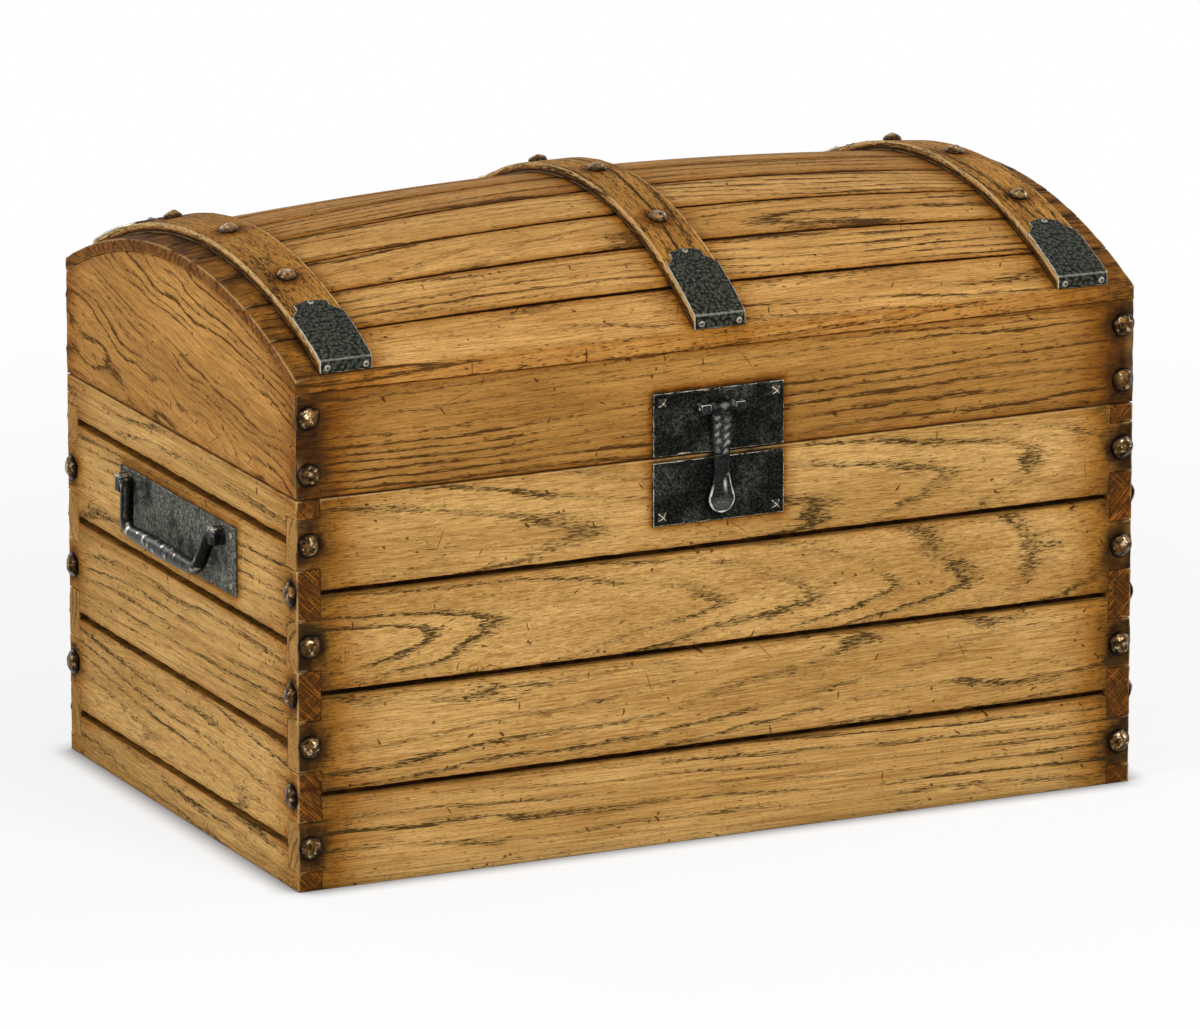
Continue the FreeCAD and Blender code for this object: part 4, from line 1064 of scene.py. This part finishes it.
# The lugs' worn edges brighten toward the top: partly wear, partly painted highlight on the upper edges.
upper = np.clip((blocks[0][:, 2] - lugs_low[2]) / (lugs_high[2] - lugs_low[2]) * 1.2 - 0.2, 0, 0.9)
piece("iron_handle_lugs", *blocks, hasp_iron, "body", "hammered_iron", ["handle_lugs"], sharp=60, rub=upper)
pivot_x, pivot_z = plate_face + STAND_OFF, (lugs_low[2] + lugs_high[2]) / 2
shoulder_y = lugs_high[1] - HANDLE_LUG - HANDLE_LUG_GAP
rake = math.atan2(BAIL_TAPER, BAIL_DROP)
arm_y = shoulder_y - BAIL_ELBOW * math.tan((math.pi / 2 - rake) / 2)


def bent(before, corner, after, radius):
    """Points round a bend of this radius, in a bar that runs through three places."""
    before, corner, after = (np.array(p, float) for p in (before, corner, after))
    back = (before - corner) / np.linalg.norm(before - corner)
    on = (after - corner) / np.linalg.norm(after - corner)
    half = math.acos(back @ on) / 2
    centre = corner + (back + on) / np.linalg.norm(back + on) * radius / math.sin(half)
    first = corner + back * radius / math.tan(half) - centre
    last = corner + on * radius / math.tan(half) - centre
    sweep = math.pi - 2 * half
    return [
        centre + (math.sin(sweep * (1 - k / 8)) * first + math.sin(sweep * k / 8) * last) / math.sin(sweep)
        for k in range(9)]


half_route = np.array(
    [(corners("right_bail")[1][1], 0), (shoulder_y + 0.1, 0)]
    + bent((shoulder_y, 0), (arm_y, 0), (arm_y - BAIL_TAPER, BAIL_DROP), BAIL_ELBOW)
    + bent((arm_y, 0), (arm_y - BAIL_TAPER, BAIL_DROP), (0, BAIL_DROP), BAIL_CORNER))
grip_half = half_route[-1][0]
bends = np.concatenate([half_route, half_route[::-1] * (-1, 1)])
runs = np.concatenate([[0], np.cumsum(np.linalg.norm(np.diff(bends, axis=0), axis=1))])
steps = np.unique(np.concatenate([runs, np.linspace(0, runs[-1], 160)]))
bail_y, hang = np.interp(steps, runs, bends[:, 0]), np.interp(steps, runs, bends[:, 1])
radii = BAIL_ROD + (BAIL_GRIP - BAIL_ROD) * np.maximum(1 - (bail_y / grip_half) ** 2, 0)
radii = np.where(abs(bail_y) > shoulder_y, BAIL_END, radii) * SLIM
for side, out in (("left", -1), ("right", 1)):
    route = np.stack([
        out * (pivot_x + hang * math.sin(BAIL_LEAN)), out * bail_y, pivot_z - hang * math.cos(BAIL_LEAN)], 1)
    bar = tube(route, radii, BAIL_SIDES, BAIL_LUMPS, side)
    # The bail's proudest lumps get painted glints.
    piece(
        f"iron_{side}_bail", *bar[:2], bail_iron, f"{side}_bail", "hammered_iron", [f"{side}_bail"], rub=0.2,
        polish=np.clip((bar[2] - 0.36) * 3, 0, 0.6))

# Nails in the iron: round heads in the caps, handle plates and hinges, and pyramid heads beaten to
# four faces in the outer corners of the hasp plates.
nail_iron = iron("nail_iron", dye(20, 18, 14), dye(96, 90, 76), dye(232, 224, 200), 0.3, 0.2)
NAIL_RADIUS = 3.2
NAIL_RIM = 0.45
NAIL_HEIGHT = 1.8
NAIL_FACETS = 3
NAIL_SIDES = 14
PYRAMID = 9.0
PYRAMID_HEIGHT = 4.5
PYRAMID_CELLS = 8


def pyramid(seat, outward):
    """A four-faced nail head: points, faces and heights, with its ridges on the diagonals."""
    line = np.linspace(-1, 1, PYRAMID_CELLS + 1)
    x, y = np.meshgrid(line, line, indexing="ij")
    crown = 1 - np.maximum(abs(x), abs(y))
    points = np.stack([x * PYRAMID / 2, y * PYRAMID / 2, crown * PYRAMID_HEIGHT], -1).reshape(-1, 3)
    wide = PYRAMID_CELLS + 1
    faces = []
    for i in range(PYRAMID_CELLS):
        for j in range(PYRAMID_CELLS):
            a, b, c, d = i * wide + j, (i + 1) * wide + j, (i + 1) * wide + j + 1, i * wide + j + 1
            rising = (2 * i + 1 - PYRAMID_CELLS) * (2 * j + 1 - PYRAMID_CELLS) > 0
            faces += [[a, b, c], [a, c, d]] if rising else [[a, b, d], [b, c, d]]
    foot = [k * wide for k in range(wide)] + [PYRAMID_CELLS * wide + k for k in range(1, wide)]
    foot += [k * wide + PYRAMID_CELLS for k in range(PYRAMID_CELLS - 1, -1, -1)]
    foot += list(range(PYRAMID_CELLS - 1, 0, -1))
    across = np.array((1.0, 0, 0))
    up = np.cross(outward, across)
    return np.asarray(seat) + points @ np.stack([across, up, outward]), faces + [foot[::-1]], crown.ravel()


for node, body, plate_node in (
        ("lid_iron_nails", "lid", "hasp_upper_plate"), ("body_iron_nails", "body", "hasp_lower_plate")):
    heads = []
    low, high = corners(plate_node)
    for n, (seat, out) in enumerate(fasteners(node)):
        if out[1] < -0.99 and low[0] < seat[0] < high[0] and low[2] < seat[2] < high[2]:
            head = pyramid(seat, out)
            heads.append(head + (np.zeros(len(head[0])),))
        else:
            head = forged_head(
                seat, out, NAIL_RADIUS, NAIL_RIM, NAIL_HEIGHT, NAIL_FACETS, f"{node}{n}", NAIL_SIDES)
            # A ring part way up each round nail head gets a painted highlight.
            heads.append(head + (np.clip(1 - abs(head[2] - 0.62) / 0.3, 0, 0.45),))
    heads = gathered(heads)
    piece(
        f"iron_{node}", *heads[:2], nail_iron, body, "iron_nails", [node], sharp=38, rub=heads[2] > 0.08,
        polish=heads[3])

# Hinges: two iron butt hinges at the back, their leaves nailed to the box and to the lid, and a
# headed pin through the knuckles.
hinge_iron = iron("hinge_iron", dye(38, 37, 32), dye(104, 102, 94), dye(190, 182, 168), 0.4, 0.15)


def dressed(node, look):
    """A CAD node that is shown as it is, in its own look."""
    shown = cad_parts[node]
    shown.data.materials.clear()
    shown.data.materials.append(look)


for node in ("hinge_lower_leaves", "hinge_upper_leaves", "hinge_pins"):
    dressed(node, hinge_iron)

# Lid stay: a slotted iron arm inside the right end. It hangs on a pin in the lid's end board and
# slides over a headed stud in the box, which stops the lid when it stands open.
for node in ("stay_arm", "stay_pivot", "stay_stud"):
    dressed(node, hinge_iron)

# Studio: a white floor that runs out to a white surround, four soft lamps (in front, at either end and
# behind), and a long lens from the front left corner, a little above the lid.
CAMERA_TURN = math.radians(-25.477)
CAMERA_RISE = math.radians(14.743)
CAMERA_FAR = 11.167
LOOK_AT = Vector((-0.00195, -0.0106, 0.2604))
LENS = 338.5
camera = bpy.data.objects.new("camera", bpy.data.cameras.new("camera"))
bpy.context.scene.collection.objects.link(camera)
camera.data.lens = LENS
camera.data.sensor_width = 36
camera.data.clip_end = 100
back = Vector((
    math.sin(CAMERA_TURN) * math.cos(CAMERA_RISE), -math.cos(CAMERA_TURN) * math.cos(CAMERA_RISE),
    math.sin(CAMERA_RISE)))
camera.location = LOOK_AT + back * CAMERA_FAR
camera.rotation_euler = (-back).to_track_quat("-Z", "Y").to_euler()
bpy.context.scene.camera = camera


def lamp(name, place, size, watts):
    """A square soft box aimed at the middle of the trunk."""
    made = bpy.data.objects.new(name, bpy.data.lights.new(name, "AREA"))
    bpy.context.scene.collection.objects.link(made)
    made.data.size = size
    made.data.energy = watts
    made.location = place
    made.rotation_euler = (Vector((0, 0, 0.3)) - Vector(place)).to_track_quat("-Z", "Y").to_euler()


lamp("key", (0.5, -3.4, 2.6), 1.5, 80)
lamp("side", (-3.4, -1.2, 1.9), 1.5, 70)
lamp("edge", (3.2, -0.2, 1.5), 1.0, 40)
lamp("rim", (-1.3, 3.2, 1.7), 1.0, 21)


def seen_directly(start):
    """1 for what the camera sees itself, in a mirror or through glass, 0 for light that falls on things."""
    path = start.node("LightPath", {}, {}, "Is Camera Ray")
    return path.math("MAXIMUM", path.out("Is Glossy Ray")).math("MAXIMUM", path.out("Is Transmission Ray"))


SKY = 0.30
world = bpy.data.worlds.new("surround")
world.use_nodes = True
bpy.context.scene.world = world
air = Tone(world.node_tree)
sky = world.node_tree.nodes["Background"]
world.node_tree.links.new((SKY + seen_directly(air) * (1 - SKY)).socket, sky.inputs["Strength"])
sky.inputs["Color"].default_value = (1, 1, 1, 1)
FLOOR = 30
floor_mesh = bpy.data.meshes.new("floor")
floor_mesh.from_pydata(
    [(-FLOOR, -FLOOR, 0), (FLOOR, -FLOOR, 0), (FLOOR, FLOOR, 0), (-FLOOR, FLOOR, 0)], [], [[0, 1, 2, 3]])
floor = bpy.data.objects.new("floor", floor_mesh)
bpy.context.scene.collection.objects.link(floor)
floor_look, floor_shader, start = material("white_floor")
floor_shader.inputs["Roughness"].default_value = 0.9
floor_shader.inputs["Specular IOR Level"].default_value = 0.0
glow = start.node("Emission", {}, {"Strength": 1.0})
away = start.node("TexCoord", {}, {}, "Object").vector("LENGTH", (0, 0, 0), 1)
# Ambient occlusion darkens the floor's colour and glow near the box: a painted contact shadow.
open_floor = start.node("AmbientOcclusion", {"samples": 12}, {"Distance": 0.03}, "AO").math("POWER", 2.0)
feed(start, floor_shader, Base_Color=open_floor.blend((0, 0, 0, 1), (0.92, 0.92, 0.92, 1)))
glowing = open_floor * (0.78 + 0.22 * away.fade(0.7, 2.4))
mixed = start.node("MixShader", {}, {0: seen_directly(start) * glowing})
tree = floor_look.node_tree
tree.links.new(floor_shader.outputs[0], mixed.socket.node.inputs[1])
tree.links.new(glow.socket, mixed.socket.node.inputs[2])
tree.links.new(mixed.socket, tree.nodes["Material Output"].inputs["Surface"])
floor_mesh.materials.append(floor_look)
bpy.context.scene.view_settings.view_transform = "Standard"
